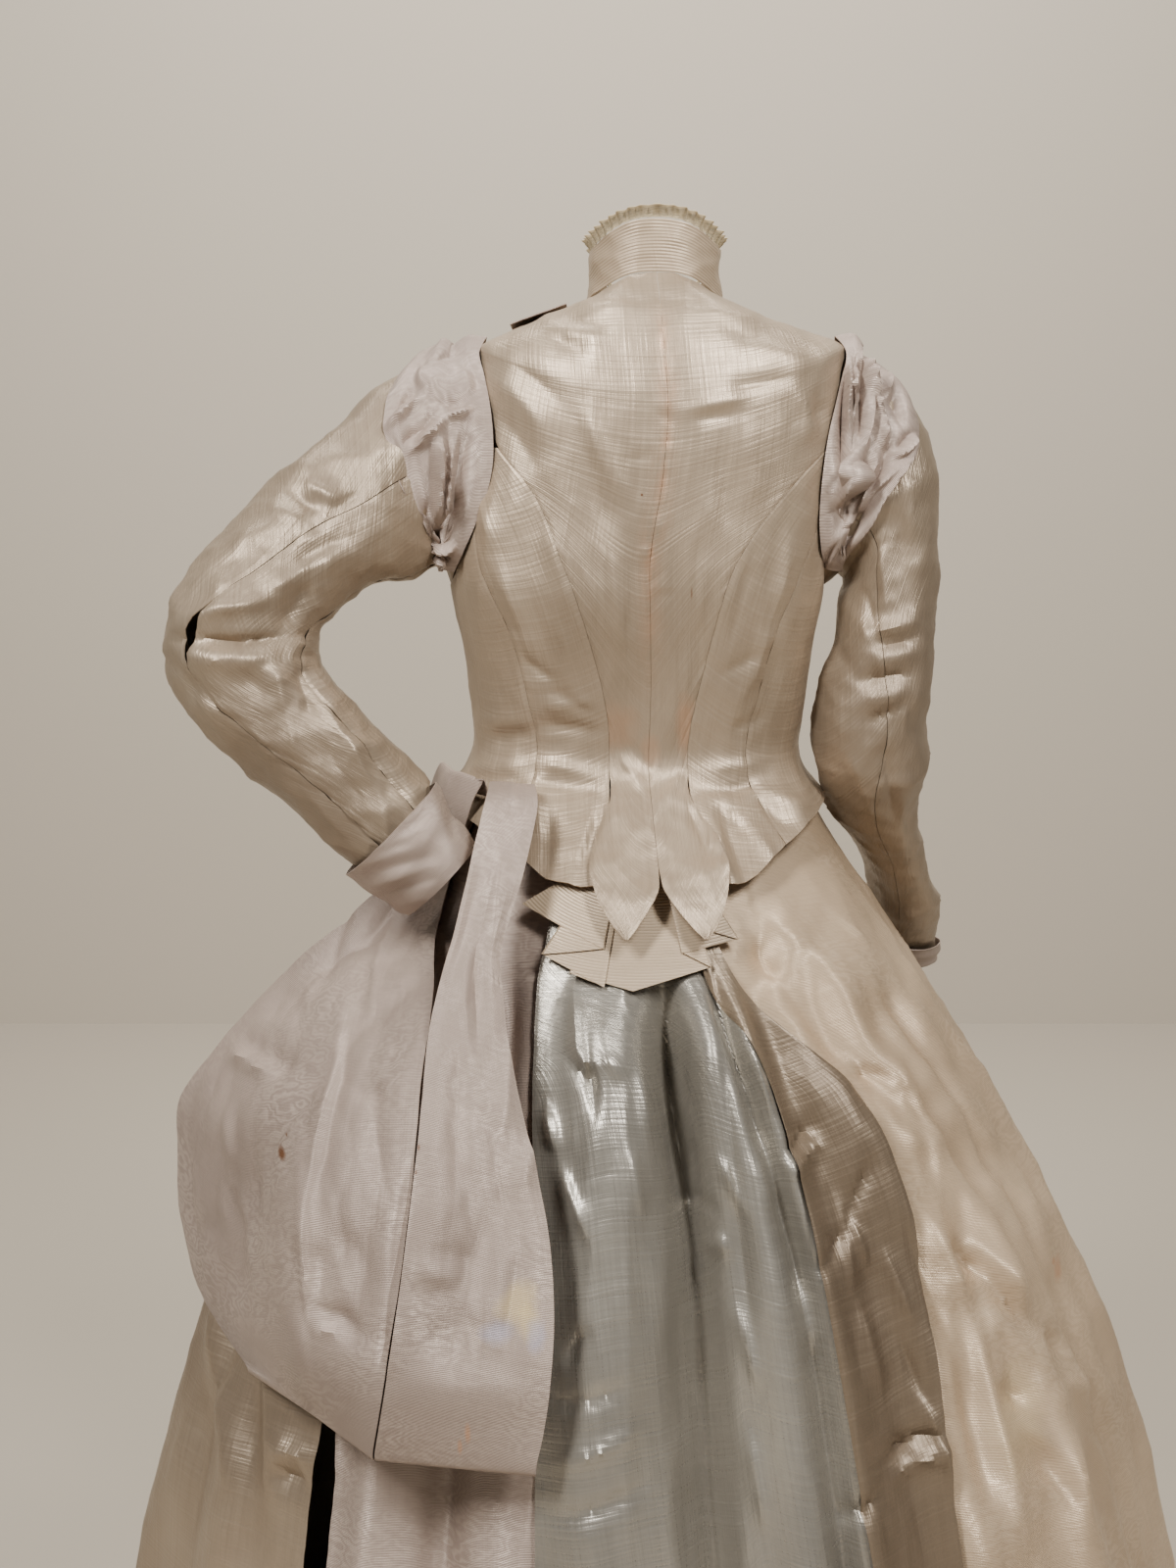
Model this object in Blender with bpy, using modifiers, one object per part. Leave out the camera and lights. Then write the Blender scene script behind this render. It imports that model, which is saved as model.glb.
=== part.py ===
"""Two-piece bustle dress of the 1880s in its worn form, seen from behind in the photograph.

Metres, +Z up. The origin is the centre of the waist, the wearer faces -Y, and +X is the
wearer's left. Every cloth piece is a thin wall. Angles are in degrees round the body:
0 is the centre back, 90 the wearer's left side, 180 the centre front, -90 the right side.
"""
import math

import bmesh
import bpy
import numpy as np

# Driving dimensions
WALL = 0.0015            # cloth with its interlining
SEAM_GAP = 0.0003        # between two pieces at a seam
LAYER = 0.0035           # from one skirt layer to the next that lies on it
WAIST_TO_FLOOR = 1.03
WAISTBAND_HEIGHT = 0.024
BAND_EASE = 0.0005       # the band lies this far inside the skirt's top edge
COLLAR_HEIGHT = 0.042
BASQUE_EASE = 0.0023     # the bodice stands off the skirt by this at the waist
BASQUE_FLARE = 0.30      # and by this share more of each length below it
ROUNDNESS = 2.4          # exponent of the body's sections, 2 is an ellipse
LACE_WAVES = 38
SLIT_TOP = -0.44
SLIT_WIDTH = 0.016
SLIT_GROWS = 0.08        # from its top to its full width

TAUPE = (0.40, 0.355, 0.30)
SILVER = (0.33, 0.33, 0.31)
LAVENDER = (0.46, 0.40, 0.39)
CREAM = (0.55, 0.46, 0.36)
COLLAR_BEIGE = (0.43, 0.35, 0.27)
LACE_CREAM = (0.58, 0.48, 0.30)


def table(names, rows):
    """Rows of numbers under named columns. The first column is what the others follow."""
    return dict(zip(names.split(), np.array(rows, dtype=float).T))


# The bodice, neck to waist. Height is at the side seam, z_back and z_front are the same
# ring at the centre back and front, and turn moves the seams round the body.
BODICE = table("height z_back z_front half_width y_back y_front centre_x turn", [
    (0.372, 0.394, 0.325, 0.054, 0.050, 0.060, -0.0160, 0.0),
    (0.362, 0.372, 0.305, 0.085, 0.075, 0.080, -0.0180, 0.0),
    (0.350, 0.340, 0.280, 0.120, 0.093, 0.093, -0.0200, 0.0),
    (0.338, 0.300, 0.250, 0.149, 0.103, 0.105, -0.0220, -0.2),
    (0.250, 0.240, 0.210, 0.152, 0.108, 0.120, -0.0170, -0.6),
    (0.150, 0.155, 0.155, 0.155, 0.108, 0.138, -0.0030, -1.4),
    (0.075, 0.078, 0.078, 0.144, 0.096, 0.105, -0.0030, -2.0),
    (0.000, 0.000, 0.000, 0.136, 0.083, 0.083, 0.0000, -2.5),
])

# The skirt, waist to hem. The bustle throws the back out just under the waist.
SKIRT = table("height half_width y_back y_front centre_x", [
    (0.000, 0.1337, 0.0807, 0.0807, 0.000),
    (-0.060, 0.163, 0.120, 0.090, -0.002),
    (-0.120, 0.198, 0.168, 0.102, -0.005),
    (-0.200, 0.242, 0.218, 0.120, -0.010),
    (-0.300, 0.300, 0.258, 0.142, -0.014),
    (-0.500, 0.392, 0.306, 0.186, -0.016),
    (-0.750, 0.458, 0.358, 0.242, -0.020),
    (-1.030, 0.525, 0.420, 0.300, -0.015),
])

UNDER_PETAL = 0.0006     # the princess seam below the waist moves out by this

# Seams of the bodice: the princess seam by its distance from the centre back, the side
# body and side seams in degrees.
PRINCESS = table("height offset", [
    (0.262, 0.130),
    (0.235, 0.107),
    (0.190, 0.080),
    (0.145, 0.061),
    (0.115, 0.052),
    (0.050, 0.036),
    (0.010, 0.031),
    (-0.100, 0.031),
])
SEAMS = table("height side_body side", [
    (0.235, 62.5, 88.0),
    (0.210, 61.9, 88.0),
    (0.190, 59.0, 88.0),
    (0.145, 49.0, 88.0),
    (0.115, 43.0, 91.0),
    (0.050, 37.0, 94.0),
    (0.010, 33.5, 95.0),
    (-0.100, 36.0, 95.0),
])

# How far the basque reaches below the waist, by degrees from the centre back.
BASQUE_HEM = table("angle depth", [
    (0.0, 0.078),
    (9.0, 0.078),
    (16.0, 0.080),
    (26.0, 0.066),
    (45.0, 0.046),
    (70.0, 0.034),
    (95.0, 0.030),
    (130.0, 0.036),
    (180.0, 0.062),
])

# One petal tab of the centre back: its two edges as offsets from the centre-back seam,
# and how far it stands off the basque.
PETAL = table("height inner outer lift", [
    (0.000, 0.0000, 0.0310, 0.0000),
    (-0.010, 0.0000, 0.0310, 0.0012),
    (-0.022, 0.0000, 0.0325, 0.0035),
    (-0.045, 0.0000, 0.0455, 0.0055),
    (-0.068, 0.0000, 0.0530, 0.0070),
    (-0.082, 0.0010, 0.0520, 0.0080),
    (-0.097, 0.0110, 0.0460, 0.0085),
    (-0.109, 0.0215, 0.0385, 0.0085),
    (-0.116, 0.0285, 0.0320, 0.0085),
])

# The armhole: an oval on the bodice, in side height and degrees.
ARMHOLE_TOP = 0.338
ARMHOLE_BOTTOM = 0.145
ARMHOLE_ANGLE = 88.0
ARMHOLE_BACK = 27.0
ARMHOLE_FRONT = 28.0

# Sleeve rings, shoulder to wrist: the centre, the tilt of the outside of the arm above
# level in degrees, and the half widths toward the outside and toward the back.
SLEEVE_LEFT = table("step x y z tilt half_out half_back", [
    (1, 0.160, 0.006, 0.246, 88.0, 0.087, 0.058),
    (2, 0.185, 0.025, 0.233, 74.0, 0.075, 0.058),
    (3, 0.213, 0.052, 0.213, 65.0, 0.067, 0.058),
    (4, 0.246, 0.078, 0.195, 56.0, 0.055, 0.057),
    (5, 0.279, 0.108, 0.165, 41.0, 0.052, 0.057),
    (6, 0.296, 0.123, 0.145, 26.0, 0.054, 0.057),
    (7, 0.305, 0.134, 0.124, 11.0, 0.057, 0.057),
    (8, 0.306, 0.142, 0.103, -1.0, 0.057, 0.055),
    (9, 0.297, 0.146, 0.079, -16.0, 0.054, 0.052),
    (10, 0.276, 0.149, 0.053, -34.0, 0.050, 0.049),
    (11, 0.240, 0.149, 0.017, -40.0, 0.046, 0.045),
    (12, 0.201, 0.146, -0.026, -45.0, 0.042, 0.040),
    (13, 0.176, 0.142, -0.055, -45.0, 0.038, 0.036),
    (14, 0.154, 0.137, -0.079, -45.0, 0.036, 0.034),
])
SLEEVE_RIGHT = table("step x y z tilt half_out half_back", [
    (1, -0.174, 0.000, 0.243, 88.0, 0.086, 0.058),
    (2, -0.200, 0.003, 0.225, 72.0, 0.077, 0.057),
    (3, -0.211, 0.007, 0.194, 56.0, 0.065, 0.056),
    (4, -0.210, 0.013, 0.154, 37.0, 0.050, 0.054),
    (5, -0.207, 0.019, 0.113, 14.0, 0.043, 0.053),
    (6, -0.201, 0.023, 0.068, 3.0, 0.046, 0.053),
    (7, -0.197, 0.022, 0.026, 0.0, 0.048, 0.052),
    (8, -0.199, 0.014, -0.014, -2.0, 0.044, 0.050),
    (9, -0.211, -0.014, -0.058, -6.0, 0.037, 0.047),
    (10, -0.233, -0.052, -0.104, -16.0, 0.032, 0.045),
    (11, -0.248, -0.092, -0.154, -10.0, 0.031, 0.042),
    (12, -0.253, -0.122, -0.190, -5.0, 0.030, 0.040),
    (13, -0.254, -0.141, -0.216, -3.0, 0.030, 0.038),
])

# The two seams of each sleeve, in degrees round it: 0 outside of the arm, 90 back.
SLEEVE_SEAMS_LEFT = table("step back_seam front_seam", [
    (0, 92.0, 168.0),
    (4, 86.0, 165.0),
    (6, 74.0, 160.0),
    (8, 54.0, 152.0),
    (10, 72.0, 142.0),
    (14, 84.0, 126.0),
])
SLEEVE_SEAMS_RIGHT = table("step back_seam front_seam", [
    (0, 118.0, 236.0),
    (4, 112.0, 240.0),
    (7, 80.0, 245.0),
    (9, 100.0, 240.0),
    (13, 112.0, 236.0),
])

# Edges of the skirt's pieces, as places across the dress at each height.
SKIRT_EDGES = table("height slit centre_left centre_right drape_outer", [
    (-0.012, 0.118, 0.042, -0.026, -0.040),
    (-0.060, 0.140, 0.058, -0.033, -0.047),
    (-0.120, 0.165, 0.070, -0.042, -0.060),
    (-0.150, 0.178, 0.077, -0.052, -0.075),
    (-0.190, 0.192, 0.079, -0.078, -0.118),
    (-0.232, 0.203, 0.080, -0.100, -0.163),
    (-0.337, 0.220, 0.078, -0.127, -0.206),
    (-0.550, 0.243, 0.077, -0.165, -0.238),
    (-0.750, 0.262, 0.078, -0.200, -0.270),
    (-1.030, 0.285, 0.080, -0.240, -0.315),
])

# Folds of the skirt: where each starts and ends round the body, its half width in
# degrees and its height, negative where it is a valley.
FOLDS = table("start middle end half_width depth", [
    (7.2, 4.5, 1.5, 5.0, 0.026),
    (-1.5, -3.2, -4.0, 1.7, -0.040),
    (-6.5, -10.5, -13.0, 3.6, 0.026),
    (-9.5, -14.5, -16.6, 1.3, -0.016),
    (-12.0, -17.0, -18.5, 2.3, 0.016),
    (-16.0, -24.0, -26.5, 3.0, -0.009),
    (-24.0, -33.0, -30.0, 3.5, 0.008),
    (-34.0, -50.0, -50.0, 3.5, 0.012),
    (-52.0, -64.0, -66.0, 3.0, -0.010),
    (-72.0, -78.0, -80.0, 4.0, 0.008),
    (26.0, 22.0, 17.0, 2.8, -0.022),
    (38.0, 31.0, 25.0, 3.0, 0.010),
    (46.0, 40.0, 31.0, 3.0, 0.006),
    (66.0, 56.0, 46.0, 4.0, 0.010),
    (74.0, 66.0, 58.0, 3.0, -0.010),
    (84.0, 78.0, 72.0, 4.0, 0.010),
    (112.0, 116.0, 120.0, 4.0, -0.010),
    (-112.0, -116.0, -120.0, 4.0, -0.010),
    (134.0, 138.0, 142.0, 5.0, 0.008),
    (-134.0, -138.0, -142.0, 5.0, 0.008),
])
FOLD_START = -0.125
FOLD_MIDDLE = -0.34
FOLD_FULL = -0.21

# The fan under the petals: one folded length of faille. Each row is a fold line, with
# its place at the gathered top, the place and height of its foot, and the layers that
# the cloth has before and after it.
FAN = table("x_top x_foot z_foot before after", [
    (0.021, 0.090, -0.094, 2.0, 2.0),
    (0.010, 0.026, -0.122, 2.0, 1.5),
    (0.018, 0.074, -0.127, 1.5, 1.0),
    (0.006, 0.026, -0.147, 1.0, 0.5),
    (0.014, 0.052, -0.139, 0.5, 0.0),
    (0.000, 0.004, -0.150, 0.0, 0.0),
    (-0.026, -0.056, -0.135, 0.0, 0.5),
    (-0.016, -0.034, -0.125, 0.5, 1.0),
    (-0.032, -0.078, -0.117, 1.0, 1.5),
    (-0.022, -0.040, -0.106, 1.5, 2.0),
    (-0.038, -0.072, -0.084, 2.0, 2.0),
])
FAN_LAYER = 0.0030
FAN_TOP = -0.0605
FAN_STAND = 0.0120       # off the skirt, level
FAN_SWELL = 0.006        # and by this much more at its foot
FAN_SWELL_FROM = -0.10
FAN_SWELL_RUN = 0.05
FAN_WALL = 0.0010
FAN_CURVE = 0.85         # below 1 the pleats spread early
FAN_GATHERED = 0.85      # share of the layers' height at the gathered top

# The hanging loop of two breadths, top to foot: right edge, middle seam and left edge.
LOOP_RIGHT_EDGE = table("part x y z", [
    (0.00, 0.078, 0.146, -0.018),
    (0.10, 0.090, 0.196, -0.072),
    (0.20, 0.103, 0.226, -0.112),
    (0.32, 0.098, 0.258, -0.170),
    (0.48, 0.078, 0.292, -0.252),
    (0.62, 0.063, 0.318, -0.330),
    (0.80, 0.066, 0.340, -0.410),
    (1.00, 0.076, 0.344, -0.466),
])
LOOP_SEAM = table("part x y z", [
    (0.00, 0.122, 0.136, -0.014),
    (0.10, 0.136, 0.198, -0.072),
    (0.20, 0.149, 0.236, -0.120),
    (0.32, 0.157, 0.272, -0.178),
    (0.48, 0.163, 0.310, -0.250),
    (0.62, 0.172, 0.332, -0.322),
    (0.80, 0.184, 0.342, -0.404),
    (1.00, 0.194, 0.330, -0.461),
])
# The same seam's edge on the left breadth, which passes behind the cuff while it is open.
LOOP_SEAM_LEFT = table("part x y z", [
    (0.00, 0.142, 0.088, -0.068),
    (0.10, 0.158, 0.134, -0.128),
    (0.20, 0.152, 0.208, -0.144),
    (0.32, 0.157, 0.272, -0.178),
    (0.48, 0.163, 0.310, -0.250),
    (0.62, 0.172, 0.332, -0.322),
    (0.80, 0.184, 0.342, -0.404),
    (1.00, 0.194, 0.330, -0.461),
])
LOOP_MIDDLE = table("part x y z", [
    (0.00, 0.172, 0.058, -0.080),
    (0.10, 0.190, 0.088, -0.122),
    (0.20, 0.212, 0.150, -0.154),
    (0.32, 0.234, 0.214, -0.194),
    (0.48, 0.253, 0.258, -0.252),
    (0.62, 0.258, 0.282, -0.318),
    (0.80, 0.252, 0.296, -0.400),
    (1.00, 0.244, 0.286, -0.450),
])
LOOP_LEFT_EDGE = table("part x y z", [
    (0.00, 0.192, 0.046, -0.086),
    (0.10, 0.232, 0.072, -0.120),
    (0.20, 0.276, 0.088, -0.156),
    (0.32, 0.332, 0.092, -0.214),
    (0.48, 0.380, 0.088, -0.288),
    (0.62, 0.379, 0.104, -0.350),
    (0.80, 0.356, 0.146, -0.416),
    (1.00, 0.306, 0.218, -0.448),
])
LOOP_OPEN_TO = 0.28      # part of the seam that is open, from the top
LOOP_OPEN_WIDTH = 0.005
LOOP_DEPTH = 0.016       # between the outside and the part that turns up inside
LOOP_ROOT_HEIGHT = -0.024
LOOP_ROOT_STAND = 0.0017
LOOP_ROOT_ANGLES = (29.0, 47.0, 48.0, 88.0)
LOOP_ROLL = 0.014        # how far the roll at the top stands off its root
LOOP_UNDER = (0.25, 0.75)           # shares of the depth that its foot passes
LOOP_INSIDE = (0.96, 0.82, 0.68)    # parts of its length that it passes again inside
LOOP_PUFF_RIGHT = 0.008
LOOP_PUFF_LEFT = 0.014
LOOP_OPEN_GROWS = 0.06
LOOP_PARTS = (0.0, 0.07, 0.14, 0.21, 0.28, 0.36, 0.45, 0.55, 0.66, 0.78, 0.90, 1.0)

# A cuff from the wrist up the arm: how far it stands off the sleeve, and how much of its
# own flare it has there.
CUFF = table("share stand flare", [
    (0.00, 0.0022, 0.0),
    (0.12, 0.0042, 0.0),
    (0.55, 0.0046, 0.6),
    (1.00, 0.0042, 1.0),
])
CUFF_WAVE = 0.0010
CUFF_WAVES = 5

# The drapes round the armholes: how far down the sleeve each reaches, in sleeve steps,
# by degrees round the armhole from its top.
DRAPE_LEFT = table("turn steps", [
    (-24.0, 1.00),
    (0.0, 1.35),
    (30.0, 1.80),
    (60.0, 2.10),
    (90.0, 2.10),
    (120.0, 1.80),
    (150.0, 1.40),
])
DRAPE_RIGHT = table("turn steps", [
    (-24.0, 1.00),
    (0.0, 1.60),
    (30.0, 2.30),
    (60.0, 2.40),
    (90.0, 2.10),
    (120.0, 1.70),
    (150.0, 1.20),
])
# The drape across its width: on the bodice in degrees from the armhole, then on the
# sleeve as a share of the drape's reach, and how far it stands off.
DRAPE_ON_BODICE = table("degrees stand", [
    (2.0, 0.0120),
    (5.5, 0.0032),
])
DRAPE_ON_SLEEVE = table("share stand", [
    (0.14, 0.0125),
    (0.30, 0.0120),
    (0.50, 0.0100),
    (0.68, 0.0085),
    (0.84, 0.0060),
    (1.00, 0.0019),
])
DRAPE_FOLD_DEPTH = 0.0016
FLAP_HEIGHTS = (0.3665, 0.3500)      # the small flap on the left shoulder seam
FLAP_STANDS = (0.0014, 0.0052, 0.0060)
FLAP_ANGLES = (101.0, 96.0, 84.0)

# Heights that all bodice pieces share, so that both edges of a seam have the same points.
YOKE_HEIGHTS = (0.372, 0.362, 0.356, 0.350, 0.344, 0.338)
ARMHOLE_HEIGHTS = (0.331, 0.316, 0.292, 0.262, 0.235, 0.210, 0.190, 0.170, 0.154, 0.147, 0.145)
SIDE_HEIGHTS = (0.120, 0.090, 0.060, 0.030, 0.0)
BASQUE_SHARES = (0.2, 0.45, 0.75, 1.0)
PRINCESS_TOP = 0.262
SIDE_BODY_TOP = 0.210
ARMHOLE_HALF_DEPTH = 0.060
ARMHOLE_STAND = 0.0010
ARMHOLE_TUCK = 0.0010     # the sleeve's end lies this much inside the armhole's edge
COLLAR_LEAN = 0.05
COLLAR_MIDDLE = 0.020
COLLAR_END = 179.7       # degrees from the centre back

# The lace frill's two edges: height above the collar's edge, how far out, and the waves.
LACE_END = 176.0
LACE_WALL = 0.0010
LACE_EDGES = table("rise out wave", [
    (0.0014, 0.0005, 0.0003),
    (0.0102, 0.0065, 0.0022),
])

SLEEVE_SHARES = (0, 0.035, 0.075, 0.14, 0.21, 0.28, 0.35, 0.41, 0.46, 0.51, 0.545, 0.59, 0.64,
                 0.70, 0.77, 0.85, 0.93, 1)
RIP_SHARES = (0.50, 0.55)  # the rip in the left elbow seam
RIP_TURN = 3.4

SKIRT_HEIGHTS = (-0.0125, -0.035, -0.062, -0.090, -0.125, -0.150, -0.185, -0.225, -0.275,
                 -0.340, -0.430, -0.520, -0.650, -0.790, -1.030)
FRONT_SEAM = 104.0       # degrees from the centre back
UNDERLAP = 0.026
LAP_START = -0.09        # where a breadth begins to lie under the next one
LAP_GROWS = 0.14
LAYER_SETTLES = 0.06     # below the waist, where the layers have their full distance

# Finishes: colour, roughness and metallic value.
TAFFETA = (TAUPE, 0.38, 0.35)
TAFFETA_SILVER = (SILVER, 0.36, 0.40)
FAILLE_LAVENDER = (LAVENDER, 0.60, 0.05)
FAILLE_CREAM = (CREAM, 0.55, 0.10)
FAILLE_BEIGE = (COLLAR_BEIGE, 0.60, 0.05)
LACE = (LACE_CREAM, 0.80, 0.0)


def smooth(knots, values, at):
    """Read a table between its rows along a curve that never overshoots them."""
    order = np.argsort(knots)
    x = knots[order]
    y = values[order]
    step = np.diff(x)
    slope = np.diff(y) / step
    grade = np.concatenate([slope[:1], np.zeros(len(x) - 2), slope[-1:]])
    same_way = slope[:-1] * slope[1:] > 0
    total = np.where(same_way, slope[:-1] + slope[1:], 1.0)
    grade[1:-1] = np.where(same_way, 2 * slope[:-1] * slope[1:] / total, 0.0)
    at = np.clip(np.asarray(at, dtype=float), x[0], x[-1])
    i = np.clip(np.searchsorted(x, at) - 1, 0, len(x) - 2)
    t = (at - x[i]) / step[i]
    rise = y[i] * (1 + 2 * t) * (1 - t) ** 2 + y[i + 1] * (3 - 2 * t) * t * t
    lean = grade[i] * t * (1 - t) ** 2 - grade[i + 1] * t * t * (1 - t)
    return rise + lean * step[i]


def read(source, name, at):
    """A column of a table, read smoothly at a place along its first column."""
    first = next(iter(source))
    return smooth(source[first], source[name], at)


def section(angle, half_width, y_back, y_front):
    """Point of a rounded body section, from the centre of the ring."""
    sine = np.sin(np.radians(angle))
    cosine = np.cos(np.radians(angle))
    power = 2 / ROUNDNESS
    depth = np.where(cosine > 0, y_back, y_front)
    x = half_width * np.sign(sine) * np.abs(sine) ** power
    y = depth * np.sign(cosine) * np.abs(cosine) ** power
    return x, y


def angle_at(x, half_width):
    """Degrees round a body section at an offset from its centre."""
    share = np.clip(np.abs(x) / half_width, 0, 1) ** (ROUNDNESS / 2)
    return np.sign(x) * np.degrees(np.arcsin(share))


def skirt_form(angle, height):
    """The skirt without its folds."""
    angle, height = np.broadcast_arrays(np.asarray(angle, float), np.asarray(height, float))
    x, y = section(angle, read(SKIRT, "half_width", height), read(SKIRT, "y_back", height),
                   read(SKIRT, "y_front", height))
    return np.stack([x + read(SKIRT, "centre_x", height), y, height], axis=-1)


def basque_lift(height):
    """How far the basque stands off the skirt, over the fan at the back."""
    return BASQUE_EASE + BASQUE_FLARE * np.clip(-height, 0, 0.09)


def bodice_half_width(height):
    """Half width of the bodice, which follows the skirt below the waist."""
    below = read(SKIRT, "half_width", height) + basque_lift(height)
    return np.where(height < 0, below, read(BODICE, "half_width", height))


def bodice_form(angle, height):
    """The bodice: its own rings above the waist, lifted off the skirt below it."""
    angle, height = np.broadcast_arrays(np.asarray(angle, float), np.asarray(height, float))
    below = height < 0
    lift = basque_lift(height)
    y_back = np.where(below, read(SKIRT, "y_back", height) + lift, read(BODICE, "y_back", height))
    y_front = np.where(below, read(SKIRT, "y_front", height) + lift,
                       read(BODICE, "y_front", height))
    turned = angle + read(BODICE, "turn", height)
    x, y = section(turned, bodice_half_width(height), y_back, y_front)
    cosine = np.cos(np.radians(angle))
    to_back = np.where(below, 0, read(BODICE, "z_back", height) - height)
    to_front = np.where(below, 0, read(BODICE, "z_front", height) - height)
    z = height + to_back * np.maximum(0, cosine) ** 2 + to_front * np.maximum(0, -cosine) ** 2
    centre = np.where(below, read(SKIRT, "centre_x", height), read(BODICE, "centre_x", height))
    return np.stack([x + centre, y, z], axis=-1)


def moved_out(form, angle, height, out):
    """Points of a form, moved out along its normal."""
    turn = 0.2
    drop = 0.001
    along = form(angle + turn, height) - form(angle - turn, height)
    down = form(angle, height - drop) - form(angle, height + drop)
    normal = np.cross(along, down)
    normal /= np.linalg.norm(normal, axis=-1, keepdims=True)
    return form(angle, height) + normal * np.asarray(out)[..., None]


def inset(form, angle, height, distance):
    """An edge's angles, moved round the form by a distance in metres."""
    turn = 0.2
    along = form(angle + turn, height) - form(angle - turn, height)
    per_degree = np.linalg.norm(along, axis=-1) / (2 * turn)
    return angle + distance / per_degree


def spread(first, last, count):
    """Columns between two edges, one row for each height."""
    share = np.linspace(0, 1, count)
    return first[:, None] * (1 - share) + last[:, None] * share


def cloth_material(name, colour, roughness, metallic):
    """A Principled material with the cloth's colour and shine."""
    material = bpy.data.materials.new(name)
    material.use_nodes = True
    shader = material.node_tree.nodes["Principled BSDF"]
    shader.inputs["Base Color"].default_value = (*colour, 1.0)
    shader.inputs["Roughness"].default_value = roughness
    shader.inputs["Metallic"].default_value = metallic
    return material


def add_object(name, mesh, finish):
    """Put a mesh in the dress's collection under its own material."""
    mesh.materials.append(cloth_material(name, *finish))
    made = bpy.data.objects.new(name, mesh)
    bpy.data.collections["bustle_dress"].objects.link(made)
    return made


def grid_faces(points, start=0, closed=False):
    """Triangles of a grid of points, two in each cell, split along its shorter diagonal."""
    rows, columns = points.shape[:2]
    last = columns if closed else columns - 1
    faces = []
    for row in range(rows - 1):
        for column in range(last):
            after = (column + 1) % columns
            a = start + row * columns + column
            b = start + row * columns + after
            c = b + columns
            d = a + columns
            falling = np.linalg.norm(points[row, column] - points[row + 1, after])
            rising = np.linalg.norm(points[row, after] - points[row + 1, column])
            faces += [(a, b, c), (a, c, d)] if falling <= rising else [(a, b, d), (b, c, d)]
    return faces


def rim_faces(edge, back):
    """Quads between the edge of one skin and the same edge of the other."""
    return [(b, a, a + back, b + back) for a, b in zip(edge, edge[1:] + edge[:1])]


def two_skins(name, outer, inner, finish, closed=False):
    """A cloth wall lofted between an outer and an inner skin, which share their grid."""
    rows, columns = outer.shape[:2]
    count = rows * columns
    points = np.concatenate([outer.reshape(-1, 3), inner.reshape(-1, 3)])
    faces = grid_faces(outer, 0, closed)
    faces += [face[::-1] for face in grid_faces(outer, count, closed)]
    index = np.arange(count).reshape(rows, columns)
    top = index[0].tolist()
    foot = index[-1].tolist()
    if closed:
        faces += rim_faces(top, count)
        faces += rim_faces(foot[::-1], count)
    else:
        right = index[1:-1, -1].tolist()
        left = index[1:-1, 0].tolist()
        faces += rim_faces(top + right + foot[::-1] + left[::-1], count)
    mesh = bpy.data.meshes.new(name)
    mesh.from_pydata(points.tolist(), [], faces)
    turn_outward(mesh)
    return add_object(name, mesh, finish)


def turn_outward(mesh):
    """Turn every face of a closed mesh to point out."""
    work = bmesh.new()
    work.from_mesh(mesh)
    bmesh.ops.recalc_face_normals(work, faces=work.faces)
    work.to_mesh(mesh)
    work.free()
    mesh.shade_smooth()


def cloth(name, points, finish, wall=WALL):
    """A free piece of cloth: an open grid of points with Solidify."""
    mesh = bpy.data.meshes.new(name)
    mesh.from_pydata(points.reshape(-1, 3).tolist(), [], grid_faces(points))
    mesh.shade_smooth()
    made = add_object(name, mesh, finish)
    wall_maker = made.modifiers.new("wall", "SOLIDIFY")
    wall_maker.thickness = wall
    wall_maker.offset = 0.0
    return made


# The bodice


def armhole_back(height):
    """Back edge of the armhole in degrees, at a height of the side."""
    middle = (ARMHOLE_TOP + ARMHOLE_BOTTOM) / 2
    reach = (ARMHOLE_TOP - ARMHOLE_BOTTOM) / 2
    share = np.sqrt(np.clip(1 - ((height - middle) / reach) ** 2, 0, 1))
    return ARMHOLE_ANGLE - ARMHOLE_BACK * share


def armhole_front(height):
    """Front edge of the armhole in degrees, at a height of the side."""
    share = (ARMHOLE_ANGLE - armhole_back(height)) / ARMHOLE_BACK
    return ARMHOLE_ANGLE + ARMHOLE_FRONT * share


def angle_beside_centre(height, offset, side):
    """Degrees from the centre back, without sign, at a distance from the centre seam."""
    half_width = bodice_half_width(height)
    turn = read(BODICE, "turn", height)
    centre_seam = section(turn, half_width, 1.0, 1.0)[0]
    return side * (angle_at(centre_seam + side * offset, half_width) - turn)


def princess(height, side):
    """The princess seam, a hair further out under the petal."""
    offset = read(PRINCESS, "offset", height) + np.where(height < 0, UNDER_PETAL, 0.0)
    return angle_beside_centre(height, offset, side)


def side_body(height, side):
    """The side-body seam, which starts at the armhole."""
    seam = read(SEAMS, "side_body", height)
    return np.where(height > SIDE_BODY_TOP, armhole_back(height), seam)


def side_of_underarm(height, side):
    """Front edge of the underarm piece: armhole, then side seam."""
    return np.where(height > ARMHOLE_BOTTOM, armhole_back(height), read(SEAMS, "side", height))


def back_outer_edge(height, side):
    """Outer edge of the back: shoulder seam, then armhole, then princess seam."""
    edge = np.where(height > ARMHOLE_TOP, ARMHOLE_ANGLE, armhole_back(height))
    return np.where(height <= PRINCESS_TOP, princess(height, side), edge)


def front_outer_edge(height, side):
    """Outer edge of the front: shoulder seam, then armhole, then side seam."""
    edge = np.where(height > ARMHOLE_BOTTOM, armhole_front(height), read(SEAMS, "side", height))
    return np.where(height > ARMHOLE_TOP, ARMHOLE_ANGLE, edge)


def centre_back(height, side):
    return np.zeros(np.shape(height))


def centre_front(height, side):
    return np.full(np.shape(height), 180.0)


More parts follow.
